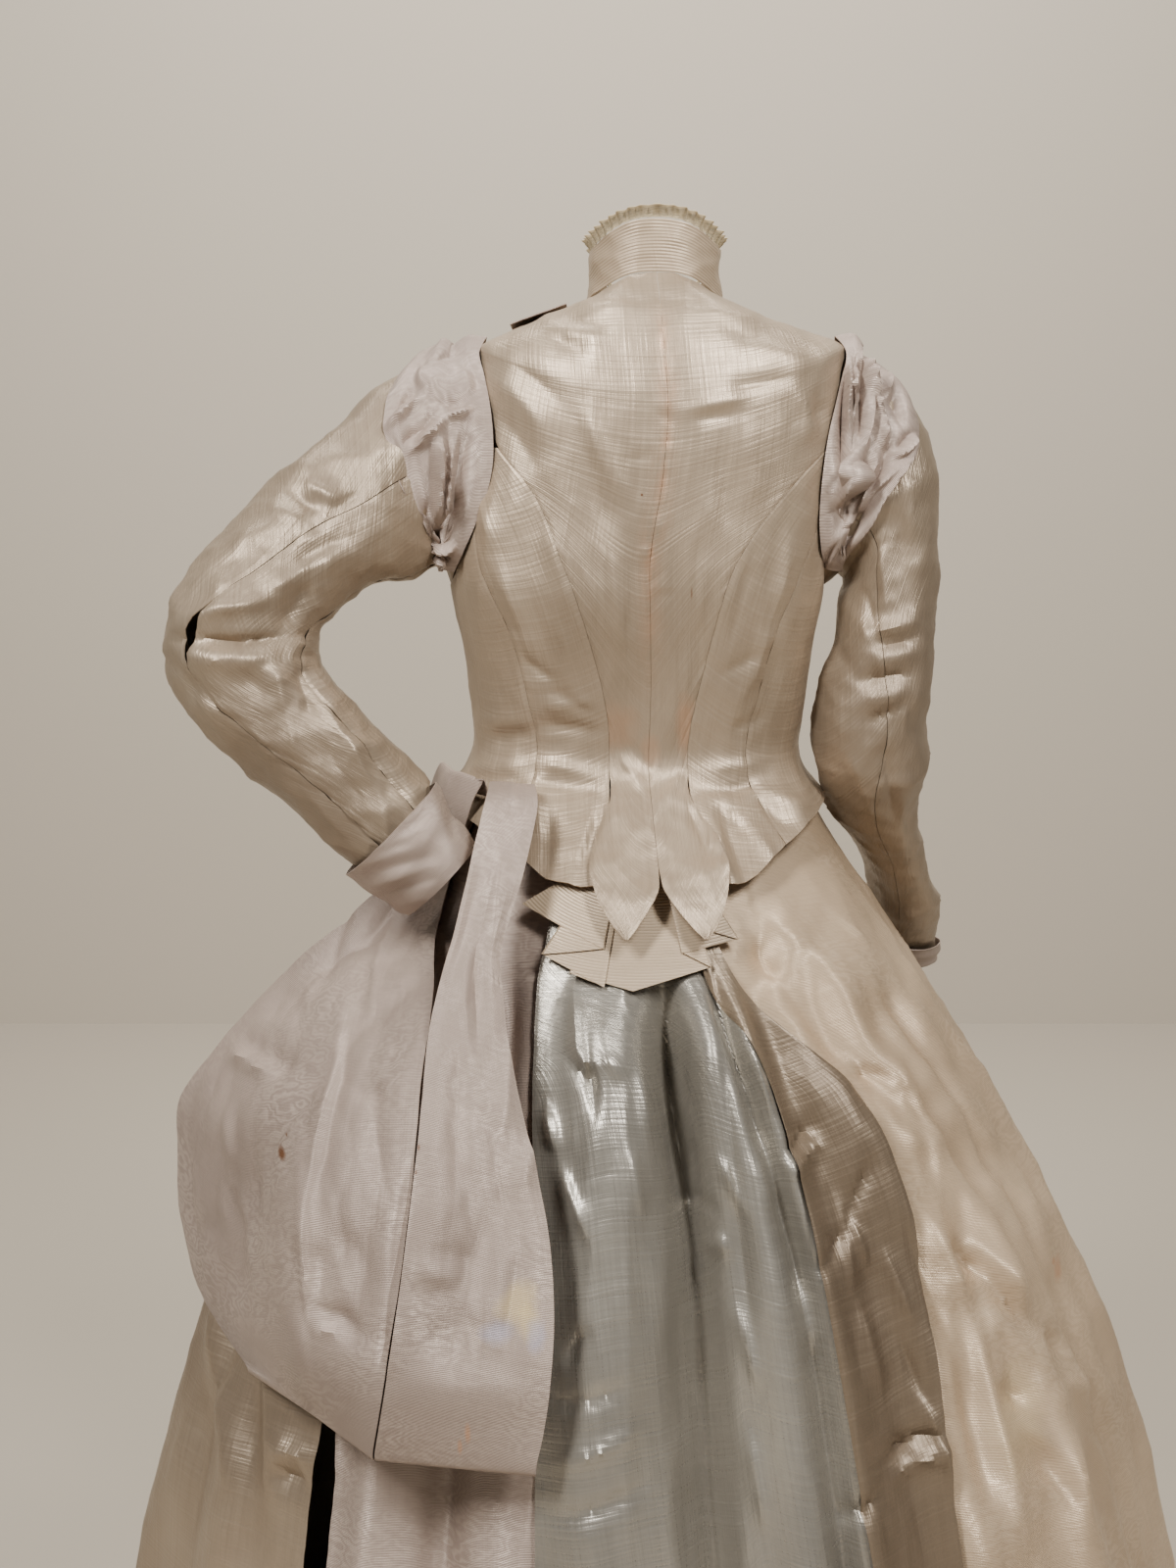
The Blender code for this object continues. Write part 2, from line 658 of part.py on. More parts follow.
def bodice_grid(heights, near, far, columns, side):
    """Angles and heights of a bodice piece between two seams, with the seam gap."""
    angles = side * spread(near(heights, side), far(heights, side), columns)
    grid_height = np.repeat(heights[:, None], columns, axis=1)
    return angles, grid_height


def leave_seam_gaps(angles, grid_height, side):
    """Set a piece's two edges back by half the seam gap."""
    edge = SEAM_GAP / 2 * side
    angles[:, 0] = inset(bodice_form, angles[:, 0], grid_height[:, 0], edge)
    angles[:, -1] = inset(bodice_form, angles[:, -1], grid_height[:, -1], -edge)


def basque_grid(near, far, columns, side):
    """The rows below the waist, which follow the basque's hem."""
    shares = np.array(BASQUE_SHARES)
    angles = side * spread(near(-0.05 * shares, side), far(-0.05 * shares, side), columns)
    depth = read(BASQUE_HEM, "depth", np.abs(angles))
    return angles, -shares[:, None] * depth


def bodice_skins(name, angles, grid_height, out):
    """Both skins of a bodice piece."""
    outer = moved_out(bodice_form, angles, grid_height, out)
    inner = moved_out(bodice_form, angles, grid_height, out - WALL)
    return two_skins(name, outer, inner, TAFFETA)


def bodice_panel(name, heights, near, far, columns, side):
    """A bodice piece between two seams, from its top row down to the basque's hem."""
    angles, grid_height = bodice_grid(np.array(heights), near, far, columns, side)
    low_angles, low_height = basque_grid(near, far, columns, side)
    angles = np.concatenate([angles, low_angles])
    grid_height = np.concatenate([grid_height, low_height])
    leave_seam_gaps(angles, grid_height, side)
    return bodice_skins(name, angles, grid_height, np.zeros(angles.shape))


def back_panel(name, side):
    """Half of the back with its petal tab, which lifts off the basque."""
    columns = 8
    heights = np.array(YOKE_HEIGHTS + ARMHOLE_HEIGHTS + SIDE_HEIGHTS)
    angles, grid_height = bodice_grid(heights, centre_back, back_outer_edge, columns, side)
    leave_seam_gaps(angles, grid_height, side)
    tab = PETAL["height"][1:]
    inner = angle_beside_centre(tab, PETAL["inner"][1:] + SEAM_GAP / 2, side)
    outer = angle_beside_centre(tab, PETAL["outer"][1:] - SEAM_GAP / 2, side)
    angles = np.concatenate([angles, side * spread(inner, outer, columns)])
    grid_height = np.concatenate([grid_height, np.repeat(tab[:, None], columns, axis=1)])
    out = np.zeros(angles.shape)
    out[len(heights):] = PETAL["lift"][1:, None]
    return bodice_skins(name, angles, grid_height, out)


def bodice_panels(end, side):
    """The panels of one side of the bodice, back to front."""
    back_panel("back" + end, side)
    below_princess = ARMHOLE_HEIGHTS[ARMHOLE_HEIGHTS.index(PRINCESS_TOP):]
    below_side_body = ARMHOLE_HEIGHTS[ARMHOLE_HEIGHTS.index(SIDE_BODY_TOP):]
    whole = YOKE_HEIGHTS + ARMHOLE_HEIGHTS + SIDE_HEIGHTS
    bodice_panel("side_back" + end, below_princess + SIDE_HEIGHTS, princess, side_body, 5, side)
    bodice_panel("underarm" + end, below_side_body + SIDE_HEIGHTS, side_body, side_of_underarm,
                 5, side)
    bodice_panel("front" + end, whole, front_outer_edge, centre_front, 8, side)


# The sleeves and cuffs


def armhole_loop(turns, side, out):
    """The armhole's edge as the sleeve meets it, a hair outside the bodice."""
    sine = np.sin(np.radians(turns))
    middle = (ARMHOLE_TOP + ARMHOLE_BOTTOM) / 2
    reach = (ARMHOLE_TOP - ARMHOLE_BOTTOM) / 2
    grown = out - ARMHOLE_TUCK
    swing = np.where(sine > 0, ARMHOLE_BACK, ARMHOLE_FRONT) * (1 + grown / ARMHOLE_HALF_DEPTH)
    height = middle + (reach + grown) * np.cos(np.radians(turns))
    angle = side * (ARMHOLE_ANGLE - swing * sine)
    return moved_out(bodice_form, angle, height, np.full(angle.shape, ARMHOLE_STAND))


def sleeve_surface(source, side, steps, turns, out):
    """Points of a sleeve: steps run down the arm from the armhole, turns go round it."""
    steps, turns = np.broadcast_arrays(np.asarray(steps, float), np.asarray(turns, float))
    wide = (read(source, "half_out", steps) + out) * np.cos(np.radians(turns))
    deep = (read(source, "half_back", steps) + out) * np.sin(np.radians(turns))
    tilt = np.radians(read(source, "tilt", steps))
    x = read(source, "x", steps) + side * wide * np.cos(tilt)
    y = read(source, "y", steps) + deep
    z = read(source, "z", steps) + wide * np.sin(tilt)
    point = np.stack([x, y, z], axis=-1)
    share = np.clip(steps, 0, 1)[..., None]
    return armhole_loop(turns, side, out) * (1 - share) + point * share


def seam_of(source, seams, column, away, turned=0.0, torn=0.0):
    """A sleeve's seam in degrees, set back by half the seam gap and by the rip."""
    def edge(steps):
        gap = np.degrees(SEAM_GAP / read(source, "half_back", steps))
        share = steps / source["step"][-1]
        rip = np.where((share > RIP_SHARES[0]) & (share < RIP_SHARES[1]), torn, 0.0)
        return read(seams, column, steps) + turned + away * (gap + rip)
    return edge


def sleeve_piece(name, source, side, first, last, columns):
    """One piece of a two-piece sleeve, between its two seams."""
    steps = np.array(SLEEVE_SHARES) * source["step"][-1]
    turns = spread(first(steps), last(steps), columns)
    grid_steps = np.repeat(steps[:, None], columns, axis=1)
    outer = sleeve_surface(source, side, grid_steps, turns, 0.0)
    inner = sleeve_surface(source, side, grid_steps, turns, -WALL)
    two_skins(name, outer, inner, TAFFETA)


def sleeve(end, side, source, seams, torn):
    """A two-piece sleeve. The under piece lies between the two seams."""
    sleeve_piece("sleeve_under" + end, source, side,
                 seam_of(source, seams, "back_seam", 1, torn=torn),
                 seam_of(source, seams, "front_seam", -1), 7)
    sleeve_piece("sleeve_top" + end, source, side,
                 seam_of(source, seams, "front_seam", 1),
                 seam_of(source, seams, "back_seam", -1, turned=360.0, torn=torn), 11)


def cuff(name, source, side, reach, flare):
    """A turned-back cuff of folded faille round the end of a sleeve."""
    end = source["step"][-1]
    shares = CUFF["share"]
    out = CUFF["stand"] + CUFF["flare"] * flare
    turns = np.linspace(0, 360, 20, endpoint=False)
    grid_steps, grid_turns = np.meshgrid(end - reach * shares, turns, indexing="ij")
    wave = CUFF_WAVE * np.cos(np.radians(grid_turns * CUFF_WAVES)) * shares[:, None]
    outer = sleeve_surface(source, side, grid_steps, grid_turns, out[:, None] + wave)
    inner = sleeve_surface(source, side, grid_steps, grid_turns, out[:, None] + wave - WALL)
    two_skins(name, outer, inner, FAILLE_LAVENDER, closed=True)


# Collar, drapes and flap


def collar_form(angle, rise):
    """The standing collar, from the neck seam up."""
    base = bodice_form(angle, np.full(np.shape(angle), BODICE["height"][0]))
    lean = 1 - COLLAR_LEAN * rise / COLLAR_HEIGHT
    centre = np.array([BODICE["centre_x"][0], 0.0, 0.0])
    point = centre + (base - centre) * np.stack([lean, lean, np.ones_like(lean)], axis=-1)
    point[..., 2] += rise
    return point


def collar():
    """The standing collar, open by a seam's width at the centre front."""
    angles = np.linspace(-COLLAR_END, COLLAR_END, 27)
    rise = np.array([SEAM_GAP * 4, COLLAR_MIDDLE, COLLAR_HEIGHT])
    grid_rise, grid_angle = np.meshgrid(rise, angles, indexing="ij")
    outer = moved_out(collar_form, grid_angle, grid_rise, np.full(grid_rise.shape, WALL))
    inner = moved_out(collar_form, grid_angle, grid_rise, np.zeros(grid_rise.shape))
    two_skins("collar", outer, inner, FAILLE_BEIGE)


def collar_lace():
    """The lace frill that stands on the collar's edge and falls outward in waves."""
    columns = LACE_WAVES * 2 + 1
    angles = np.linspace(-LACE_END, LACE_END, columns)
    rise = COLLAR_HEIGHT + LACE_EDGES["rise"]
    grid_rise, grid_angle = np.meshgrid(rise, angles, indexing="ij")
    wave = np.where(np.arange(columns) % 2 == 0, 1.0, -1.0)
    out = LACE_EDGES["out"][:, None] + np.outer(LACE_EDGES["wave"], wave)
    points = collar_form(grid_angle, grid_rise)
    away = points - np.array([BODICE["centre_x"][0], 0.0, 0.0])
    away[..., 2] = 0
    away /= np.linalg.norm(away, axis=-1, keepdims=True)
    cloth("collar_lace", points + away * out[..., None], LACE, wall=LACE_WALL)


def drape_on_bodice(turn, side, degrees, stand):
    """A point of the drape on the bodice, outside the armhole."""
    cosine = math.cos(math.radians(turn))
    sine = math.sin(math.radians(turn))
    middle = (ARMHOLE_TOP + ARMHOLE_BOTTOM) / 2
    reach = (ARMHOLE_TOP - ARMHOLE_BOTTOM) / 2
    swing = (ARMHOLE_BACK if sine > 0 else ARMHOLE_FRONT) + degrees
    height = middle + (reach + 0.001 * degrees * max(0, cosine)) * cosine
    angle = side * (ARMHOLE_ANGLE - swing * sine)
    return moved_out(bodice_form, np.array([angle]), np.array([height]), np.array([stand]))[0]


def drape_on_sleeve(source, side, step, turn, stand):
    """A point of the drape on the sleeve, standing off bodice and sleeve where they meet."""
    base = sleeve_surface(source, side, step, turn, 0.0)
    off_sleeve = sleeve_surface(source, side, max(step, 1.0), turn, 0.01)
    off_sleeve = off_sleeve - sleeve_surface(source, side, max(step, 1.0), turn, 0.0)
    off_bodice = drape_on_bodice(turn, side, 0.0, 0.01) - drape_on_bodice(turn, side, 0.0, 0.0)
    share = min(step, 1.0)
    away = off_sleeve * share + off_bodice * (1 - share)
    return base + away / np.linalg.norm(away) * stand


def shoulder_drape(name, source, side, shape):
    """A folded faille drape round the back of an armhole, from bodice to sleeve."""
    grid = []
    for turn in np.linspace(shape["turn"][0], shape["turn"][-1], 12):
        on_bodice = zip(DRAPE_ON_BODICE["degrees"][::-1], DRAPE_ON_BODICE["stand"][::-1])
        row = [drape_on_bodice(turn, side, degrees, stand) for degrees, stand in on_bodice]
        reach = read(shape, "steps", turn)
        fold = DRAPE_FOLD_DEPTH
        for share, stand in zip(DRAPE_ON_SLEEVE["share"], DRAPE_ON_SLEEVE["stand"]):
            lift = stand + fold * (share < 1)
            row.append(drape_on_sleeve(source, side, reach * share, turn, lift))
            fold = -fold
        grid.append(row)
    cloth(name, np.array(grid), FAILLE_LAVENDER)


def shoulder_fold():
    """The small turned flap of faille along the front of the left shoulder seam."""
    heights, out = np.meshgrid(np.linspace(*FLAP_HEIGHTS, 6), FLAP_STANDS, indexing="ij")
    angles = np.broadcast_to(FLAP_ANGLES, out.shape)
    cloth("shoulder_fold", moved_out(bodice_form, angles, heights, out), FAILLE_LAVENDER)


# The skirt


def waistband():
    """The skirt's band, hidden inside the bodice."""
    angles = np.linspace(0, 360, 32, endpoint=False)
    rise = np.array([WAISTBAND_HEIGHT / 2, -WAISTBAND_HEIGHT / 2])
    grid_rise, grid_angle = np.meshgrid(rise, angles, indexing="ij")
    skins = []
    for inside in (BAND_EASE, BAND_EASE + WALL):
        half_width = SKIRT["half_width"][0] - inside
        depth = SKIRT["y_back"][0] - inside
        skins.append(np.stack([*section(grid_angle, half_width, depth, depth), grid_rise], axis=-1))
    two_skins("waistband", *skins, TAFFETA, closed=True)


def fold_rise(angle, height):
    """Height of the folds at a place on the skirt."""
    high = np.clip((height - FOLD_MIDDLE) / (FOLD_START - FOLD_MIDDLE), 0, 1)
    low = np.clip((FOLD_MIDDLE - height) / (FOLD_MIDDLE + WAIST_TO_FLOOR), 0, 1)
    grown = np.clip((height - FOLD_START) / (FOLD_FULL - FOLD_START), 0, 1)
    grown = grown * grown * (3 - 2 * grown)
    rise = np.zeros(np.shape(angle))
    for start, middle, end, width, depth in zip(*FOLDS.values()):
        place = middle + (start - middle) * high + (end - middle) * low
        rise += depth * np.exp(-((angle - place) / width) ** 2)
    return rise * grown


def skirt_panel(name, first, last, columns, finish, layer=0.0):
    """A skirt piece between two edges, with the folds that cross it."""
    heights = np.array(SKIRT_HEIGHTS)
    angles = spread(first(heights), last(heights), columns)
    grid_height = np.repeat(heights[:, None], columns, axis=1)
    settled = np.clip(-grid_height / LAYER_SETTLES, 0, 1)
    out = fold_rise(angles, grid_height) + layer * settled
    outer = moved_out(skirt_form, angles, grid_height, out)
    inner = moved_out(skirt_form, angles, grid_height, out - WALL)
    two_skins(name, outer, inner, finish)


def edge_of(column, gap, lap=0.0):
    """A piece's edge on the skirt, with the part that lies under its neighbour."""
    def edge(heights):
        place = read(SKIRT_EDGES, column, heights) - read(SKIRT, "centre_x", heights)
        angle = angle_at(place, read(SKIRT, "half_width", heights))
        grown = np.clip((LAP_START - heights) / LAP_GROWS, 0, 1)
        return inset(skirt_form, angle, heights, gap + lap * grown)
    return edge


def slit_edge(toward):
    """One edge of the slit, which opens under the loop."""
    def edge(heights):
        open_width = SLIT_WIDTH * np.clip((SLIT_TOP - heights) / SLIT_GROWS, 0, 1)
        middle = edge_of("slit", 0.0)(heights)
        return inset(skirt_form, middle, heights, toward * (open_width + SEAM_GAP) / 2)
    return edge


def front_seam(side, toward):
    """The seam between a side breadth and the front breadth."""
    def edge(heights):
        angle = np.full(np.shape(heights), FRONT_SEAM * side)
        return inset(skirt_form, angle, heights, toward)
    return edge


def skirt():
    """The six breadths of the skirt. Some lie on the next one at their edge."""
    half = SEAM_GAP / 2

    def right_seam_from_front(heights):
        return 360 + front_seam(-1, -half)(heights)

    skirt_panel("skirt_front", front_seam(1, half), right_seam_from_front, 12, TAFFETA)
    skirt_panel("skirt_side_left", slit_edge(1), front_seam(1, -half), 11, TAFFETA)
    skirt_panel("skirt_panel_left", edge_of("centre_left", half, -UNDERLAP), slit_edge(-1), 15,
                FAILLE_LAVENDER, -LAYER)
    skirt_panel("skirt_back_centre", edge_of("centre_right", half, -UNDERLAP / 2),
                edge_of("centre_left", -half), 24, TAFFETA_SILVER, LAYER)
    skirt_panel("skirt_back_right", edge_of("drape_outer", half), edge_of("centre_right", -half),
                12, TAFFETA, LAYER * 2.5)
    skirt_panel("skirt_side_right", front_seam(-1, half), edge_of("drape_outer", -half, UNDERLAP),
                13, FAILLE_CREAM)


def fan_lines():
    """The fan's lines in their order: the place of each in the table, and its layer."""
    lines = []
    for row, (before, after) in enumerate(zip(FAN["before"], FAN["after"])):
        lines += [(row - 0.5, before), (row, before)]
        if after != before:
            lines.append((row, after))
    return lines[1:]


def fan():
    """The pleated fan: one length folded to and fro, gathered at its top."""
    rows, layers = zip(*fan_lines())
    share, row = np.meshgrid(np.linspace(0, 1, 5), rows, indexing="ij")
    column = {name: np.interp(row, np.arange(len(FAN[name])), FAN[name]) for name in FAN}
    height = FAN_TOP + (column["z_foot"] - FAN_TOP) * share
    x = column["x_top"] + (column["x_foot"] - column["x_top"]) * share ** FAN_CURVE
    centre = read(SKIRT, "centre_x", height)
    swell = FAN_SWELL * np.clip((FAN_SWELL_FROM - height) / FAN_SWELL_RUN, 0, 1) ** 2
    open_share = FAN_GATHERED + (1 - FAN_GATHERED) * share
    out = FAN_STAND + swell + np.array(layers) * FAN_LAYER * open_share
    half_width = read(SKIRT, "half_width", height) + out
    angle = angle_at(x - centre, half_width)
    x, y = section(angle, half_width, read(SKIRT, "y_back", height) + out, 1.0)
    cloth("fan", np.stack([x + centre, y, height], axis=-1), FAILLE_BEIGE, wall=FAN_WALL)


# The hanging loop


def curve(source, part):
    """Points of a hand-placed curve at shares of its length."""
    return np.stack([read(source, axis, part) for axis in "xyz"], axis=-1)


def loop_rows(source, root_angle, inward):
    """A curve of the loop: from its root over the roll, down, round its foot and up inside."""
    stand = np.array([LOOP_ROOT_STAND + WALL / 2])
    root = moved_out(bodice_form, np.array([root_angle]), np.array([LOOP_ROOT_HEIGHT]), stand)
    over = moved_out(bodice_form, np.array([root_angle]), np.array([LOOP_ROOT_HEIGHT]),
                     np.array([LOOP_ROLL])) + np.array([0, 0, LOOP_ROLL / 2])
    down = curve(source, np.array(LOOP_PARTS))
    under = []
    for share in LOOP_UNDER:
        drop = np.array([0, 0, -LOOP_DEPTH / 2])
        under.append(down[-1] + inward * LOOP_DEPTH * share + drop)
    up = curve(source, np.array(LOOP_INSIDE)) + inward * LOOP_DEPTH
    return np.concatenate([root, over, down, under, up])


def loop_breadth(name, edges, puff, columns):
    """A breadth of the loop between hand-placed curves, puffed out between them."""
    share = np.linspace(0, 1, columns)[None, :, None]
    strips = []
    for here, there in zip(edges[:-1], edges[1:]):
        strip = here[:, None] * (1 - share) + there[:, None] * share
        strips.append(strip if not strips else strip[:, 1:])
    points = np.concatenate(strips, axis=1)
    across = np.sin(np.linspace(0, math.pi, points.shape[1]))
    down = np.zeros(len(points))
    down[2:2 + len(LOOP_PARTS)] = np.sin(np.linspace(0, math.pi, len(LOOP_PARTS)))
    points[..., 1] += puff * np.outer(down, across)
    cloth(name, points, FAILLE_LAVENDER)


def loop():
    """The hanging loop at the wearer's left: two breadths with their seam open above."""
    inward = np.array([0.0, -1.0, 0.0])
    aslant = np.array([-0.35, -0.80, 0.0])
    right_root, seam_root, left_seam_root, left_root = LOOP_ROOT_ANGLES
    right_edge = loop_rows(LOOP_RIGHT_EDGE, right_root, inward)
    seam = loop_rows(LOOP_SEAM, seam_root, inward)
    left_seam = loop_rows(LOOP_SEAM_LEFT, left_seam_root, inward)
    middle = loop_rows(LOOP_MIDDLE, (left_seam_root + left_root) / 2, aslant)
    left_edge = loop_rows(LOOP_LEFT_EDGE, left_root, aslant)
    turned_under = len(LOOP_UNDER) + len(LOOP_INSIDE)
    part = np.array((0.0, 0.0) + LOOP_PARTS + (1.0,) * turned_under)
    opened = np.clip((LOOP_OPEN_TO - part) / LOOP_OPEN_GROWS, 0, 1)
    gap = SEAM_GAP * 4 + LOOP_OPEN_WIDTH * opened
    shift = np.outer(gap / 2, [1.0, 0.0, 0.0])
    loop_breadth("loop_right_breadth", [right_edge, seam - shift], LOOP_PUFF_RIGHT, 7)
    loop_breadth("loop_left_breadth", [left_seam + shift, middle, left_edge], LOOP_PUFF_LEFT, 6)


def clear_scene():
    """Start from an empty file."""
    for made in list(bpy.data.objects):
        bpy.data.objects.remove(made, do_unlink=True)
    gathered = bpy.data.collections.new("bustle_dress")
    bpy.context.scene.collection.children.link(gathered)


def main():
    clear_scene()
    collar()
    collar_lace()
    bodice_panels("_left", 1)
    bodice_panels("_right", -1)
    sleeve("_left", 1, SLEEVE_LEFT, SLEEVE_SEAMS_LEFT, RIP_TURN)
    sleeve("_right", -1, SLEEVE_RIGHT, SLEEVE_SEAMS_RIGHT, 0.0)
    cuff("cuff_left", SLEEVE_LEFT, 1, 1.7, 0.0050)
    cuff("cuff_right", SLEEVE_RIGHT, -1, 0.9, 0.0015)
    shoulder_drape("shoulder_drape_left", SLEEVE_LEFT, 1, DRAPE_LEFT)
    shoulder_drape("shoulder_drape_right", SLEEVE_RIGHT, -1, DRAPE_RIGHT)
    shoulder_fold()
    fan()
    waistband()
    skirt()
    loop()


main()
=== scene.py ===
# %% [markdown]
# # A silk bustle dress of the 1880s
# This lesson dresses the solid model of a bustle dress in its real cloth: crisp taffeta with a
# champagne sheen, silver-grey breadths at the back, and lavender faille drapes. The solids give
# each piece its place and size. Here every piece becomes a thin shell with its creases, and then
# gets its silk.

# %% The frame
import math
from itertools import product

import bpy
import numpy as np
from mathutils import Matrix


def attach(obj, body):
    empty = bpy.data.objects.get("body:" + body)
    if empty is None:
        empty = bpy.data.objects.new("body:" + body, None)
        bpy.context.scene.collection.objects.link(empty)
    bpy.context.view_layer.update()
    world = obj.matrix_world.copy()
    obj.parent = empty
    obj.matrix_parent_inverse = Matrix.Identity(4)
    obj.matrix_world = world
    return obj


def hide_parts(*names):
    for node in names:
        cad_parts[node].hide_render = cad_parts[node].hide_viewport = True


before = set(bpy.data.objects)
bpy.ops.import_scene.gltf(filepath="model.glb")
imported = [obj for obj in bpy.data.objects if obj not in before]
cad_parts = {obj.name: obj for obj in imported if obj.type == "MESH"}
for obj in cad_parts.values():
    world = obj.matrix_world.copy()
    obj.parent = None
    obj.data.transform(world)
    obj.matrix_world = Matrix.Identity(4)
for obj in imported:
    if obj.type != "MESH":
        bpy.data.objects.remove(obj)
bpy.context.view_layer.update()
SHELL = 0.0008            # thickness of one layer of silk
WALL = 0.0015             # thickness of the solids
SEAM_GAP = 0.0003
print("solids in the frame:", len(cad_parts))

# %% [markdown]
# ## Reading sizes from tables
# A dress is cut from measurements taken at a few heights. Each table below holds such a row of
# measurements, and `read` draws a smooth curve through one of its columns, which never swings
# past the measured values.

# %% Tables and smooth curves
def table(names, rows):
    """Rows of numbers under named columns. The first column is what the others follow."""
    return dict(zip(names.split(), np.array(rows, dtype=float).T))


def smooth(knots, values, at):
    """Read a table between its rows along a curve that never overshoots them."""
    order = np.argsort(knots)
    x = knots[order]
    y = values[order]
    step = np.diff(x)
    slope = np.diff(y) / step
    grade = np.concatenate([slope[:1], np.zeros(len(x) - 2), slope[-1:]])
    same_way = slope[:-1] * slope[1:] > 0
    total = np.where(same_way, slope[:-1] + slope[1:], 1.0)
    grade[1:-1] = np.where(same_way, 2 * slope[:-1] * slope[1:] / total, 0.0)
    at = np.clip(np.asarray(at, dtype=float), x[0], x[-1])
    i = np.clip(np.searchsorted(x, at) - 1, 0, len(x) - 2)
    t = (at - x[i]) / step[i]
    rise = y[i] * (1 + 2 * t) * (1 - t) ** 2 + y[i + 1] * (3 - 2 * t) * t * t
    lean = grade[i] * t * (1 - t) ** 2 - grade[i + 1] * t * t * (1 - t)
    return rise + lean * step[i]


def read(source, name, at):
    """A column of a table, read smoothly at a place along its first column."""
    first = next(iter(source))
    return smooth(source[first], source[name], at)


def spline(rows, at):
    """Points on the smooth curve that passes through every row of points."""
    rows = np.asarray(rows, dtype=float)
    last = len(rows) - 1
    at = np.clip(at, 0, last)
    i = np.clip(np.floor(at).astype(int), 0, last - 1)
    t = (at - i).reshape((-1,) + (1,) * (rows.ndim - 1))
    before = rows[np.clip(i - 1, 0, last)]
    here = rows[i]
    there = rows[i + 1]
    after = rows[np.clip(i + 2, 0, last)]
    square = t * t
    cube = square * t
    return 0.5 * (2 * here + (there - before) * t + (2 * before - 5 * here + 4 * there - after) * square
                  + (3 * here - before - 3 * there + after) * cube)


print("a curve reads", float(smooth(np.array([0.0, 1.0, 2.0]), np.array([0.0, 1.0, 0.0]), 0.5)))

# %% [markdown]
# ## The forms under the cloth
# The bodice and the skirt are rounded sections that change down the body. These are the same
# measurements and formulas that the solid model was cut from, so the silk lies on its solid.

# %% Measurements of the bodice and skirt
BASQUE_EASE = 0.0023
BASQUE_FLARE = 0.30
ROUNDNESS = 2.4
BODICE = table("height z_back z_front half_width y_back y_front centre_x turn", [
    (0.372, 0.394, 0.325, 0.054, 0.050, 0.060, -0.0160, 0.0),
    (0.362, 0.372, 0.305, 0.085, 0.075, 0.080, -0.0180, 0.0),
    (0.350, 0.340, 0.280, 0.120, 0.093, 0.093, -0.0200, 0.0),
    (0.338, 0.300, 0.250, 0.149, 0.103, 0.105, -0.0220, -0.2),
    (0.250, 0.240, 0.210, 0.152, 0.108, 0.120, -0.0170, -0.6),
    (0.150, 0.155, 0.155, 0.155, 0.108, 0.138, -0.0030, -1.4),
    (0.075, 0.078, 0.078, 0.144, 0.096, 0.105, -0.0030, -2.0),
    (0.000, 0.000, 0.000, 0.136, 0.083, 0.083, 0.0000, -2.5),
])
SKIRT = table("height half_width y_back y_front centre_x", [
    (0.000, 0.1337, 0.0807, 0.0807, 0.000),
    (-0.060, 0.163, 0.120, 0.090, -0.002),
    (-0.120, 0.198, 0.168, 0.102, -0.005),
    (-0.200, 0.242, 0.218, 0.120, -0.010),
    (-0.300, 0.300, 0.258, 0.142, -0.014),
    (-0.500, 0.392, 0.306, 0.186, -0.016),
    (-0.750, 0.458, 0.358, 0.242, -0.020),
    (-1.030, 0.525, 0.420, 0.300, -0.015),
])
print("waist width", round(float(2 * SKIRT["half_width"][0]), 3), "m")

# %% Sections of the body
def section(angle, half_width, y_back, y_front):
    """Point of a rounded body section, from the centre of the ring."""
    sine = np.sin(np.radians(angle))
    cosine = np.cos(np.radians(angle))
    power = 2 / ROUNDNESS
    depth = np.where(cosine > 0, y_back, y_front)
    x = half_width * np.sign(sine) * np.abs(sine) ** power
    y = depth * np.sign(cosine) * np.abs(cosine) ** power
    return x, y


def angle_at(x, half_width):
    """Degrees round a body section at an offset from its centre."""
    share = np.clip(np.abs(x) / half_width, 0, 1) ** (ROUNDNESS / 2)
    return np.sign(x) * np.degrees(np.arcsin(share))


def skirt_form(angle, height):
    """The skirt without its folds."""
    angle, height = np.broadcast_arrays(np.asarray(angle, float), np.asarray(height, float))
    x, y = section(angle, read(SKIRT, "half_width", height), read(SKIRT, "y_back", height),
                   read(SKIRT, "y_front", height))
    return np.stack([x + read(SKIRT, "centre_x", height), y, height], axis=-1)


def basque_lift(height):
    """How far the basque stands off the skirt, over the fan at the back."""
    return BASQUE_EASE + BASQUE_FLARE * np.clip(-height, 0, 0.09)


def bodice_half_width(height):
    """Half width of the bodice, which follows the skirt below the waist."""
    below = read(SKIRT, "half_width", height) + basque_lift(height)
    return np.where(height < 0, below, read(BODICE, "half_width", height))


def bodice_form(angle, height):
    """The bodice: its own rings above the waist, lifted off the skirt below it."""
    angle, height = np.broadcast_arrays(np.asarray(angle, float), np.asarray(height, float))
    below = height < 0
    lift = basque_lift(height)
    y_back = np.where(below, read(SKIRT, "y_back", height) + lift, read(BODICE, "y_back", height))
    y_front = np.where(below, read(SKIRT, "y_front", height) + lift,
                       read(BODICE, "y_front", height))
    turned = angle + read(BODICE, "turn", height)
    x, y = section(turned, bodice_half_width(height), y_back, y_front)
    cosine = np.cos(np.radians(angle))
    to_back = np.where(below, 0, read(BODICE, "z_back", height) - height)
    to_front = np.where(below, 0, read(BODICE, "z_front", height) - height)
    z = height + to_back * np.maximum(0, cosine) ** 2 + to_front * np.maximum(0, -cosine) ** 2
    centre = np.where(below, read(SKIRT, "centre_x", height), read(BODICE, "centre_x", height))
    return np.stack([x + centre, y, z], axis=-1)


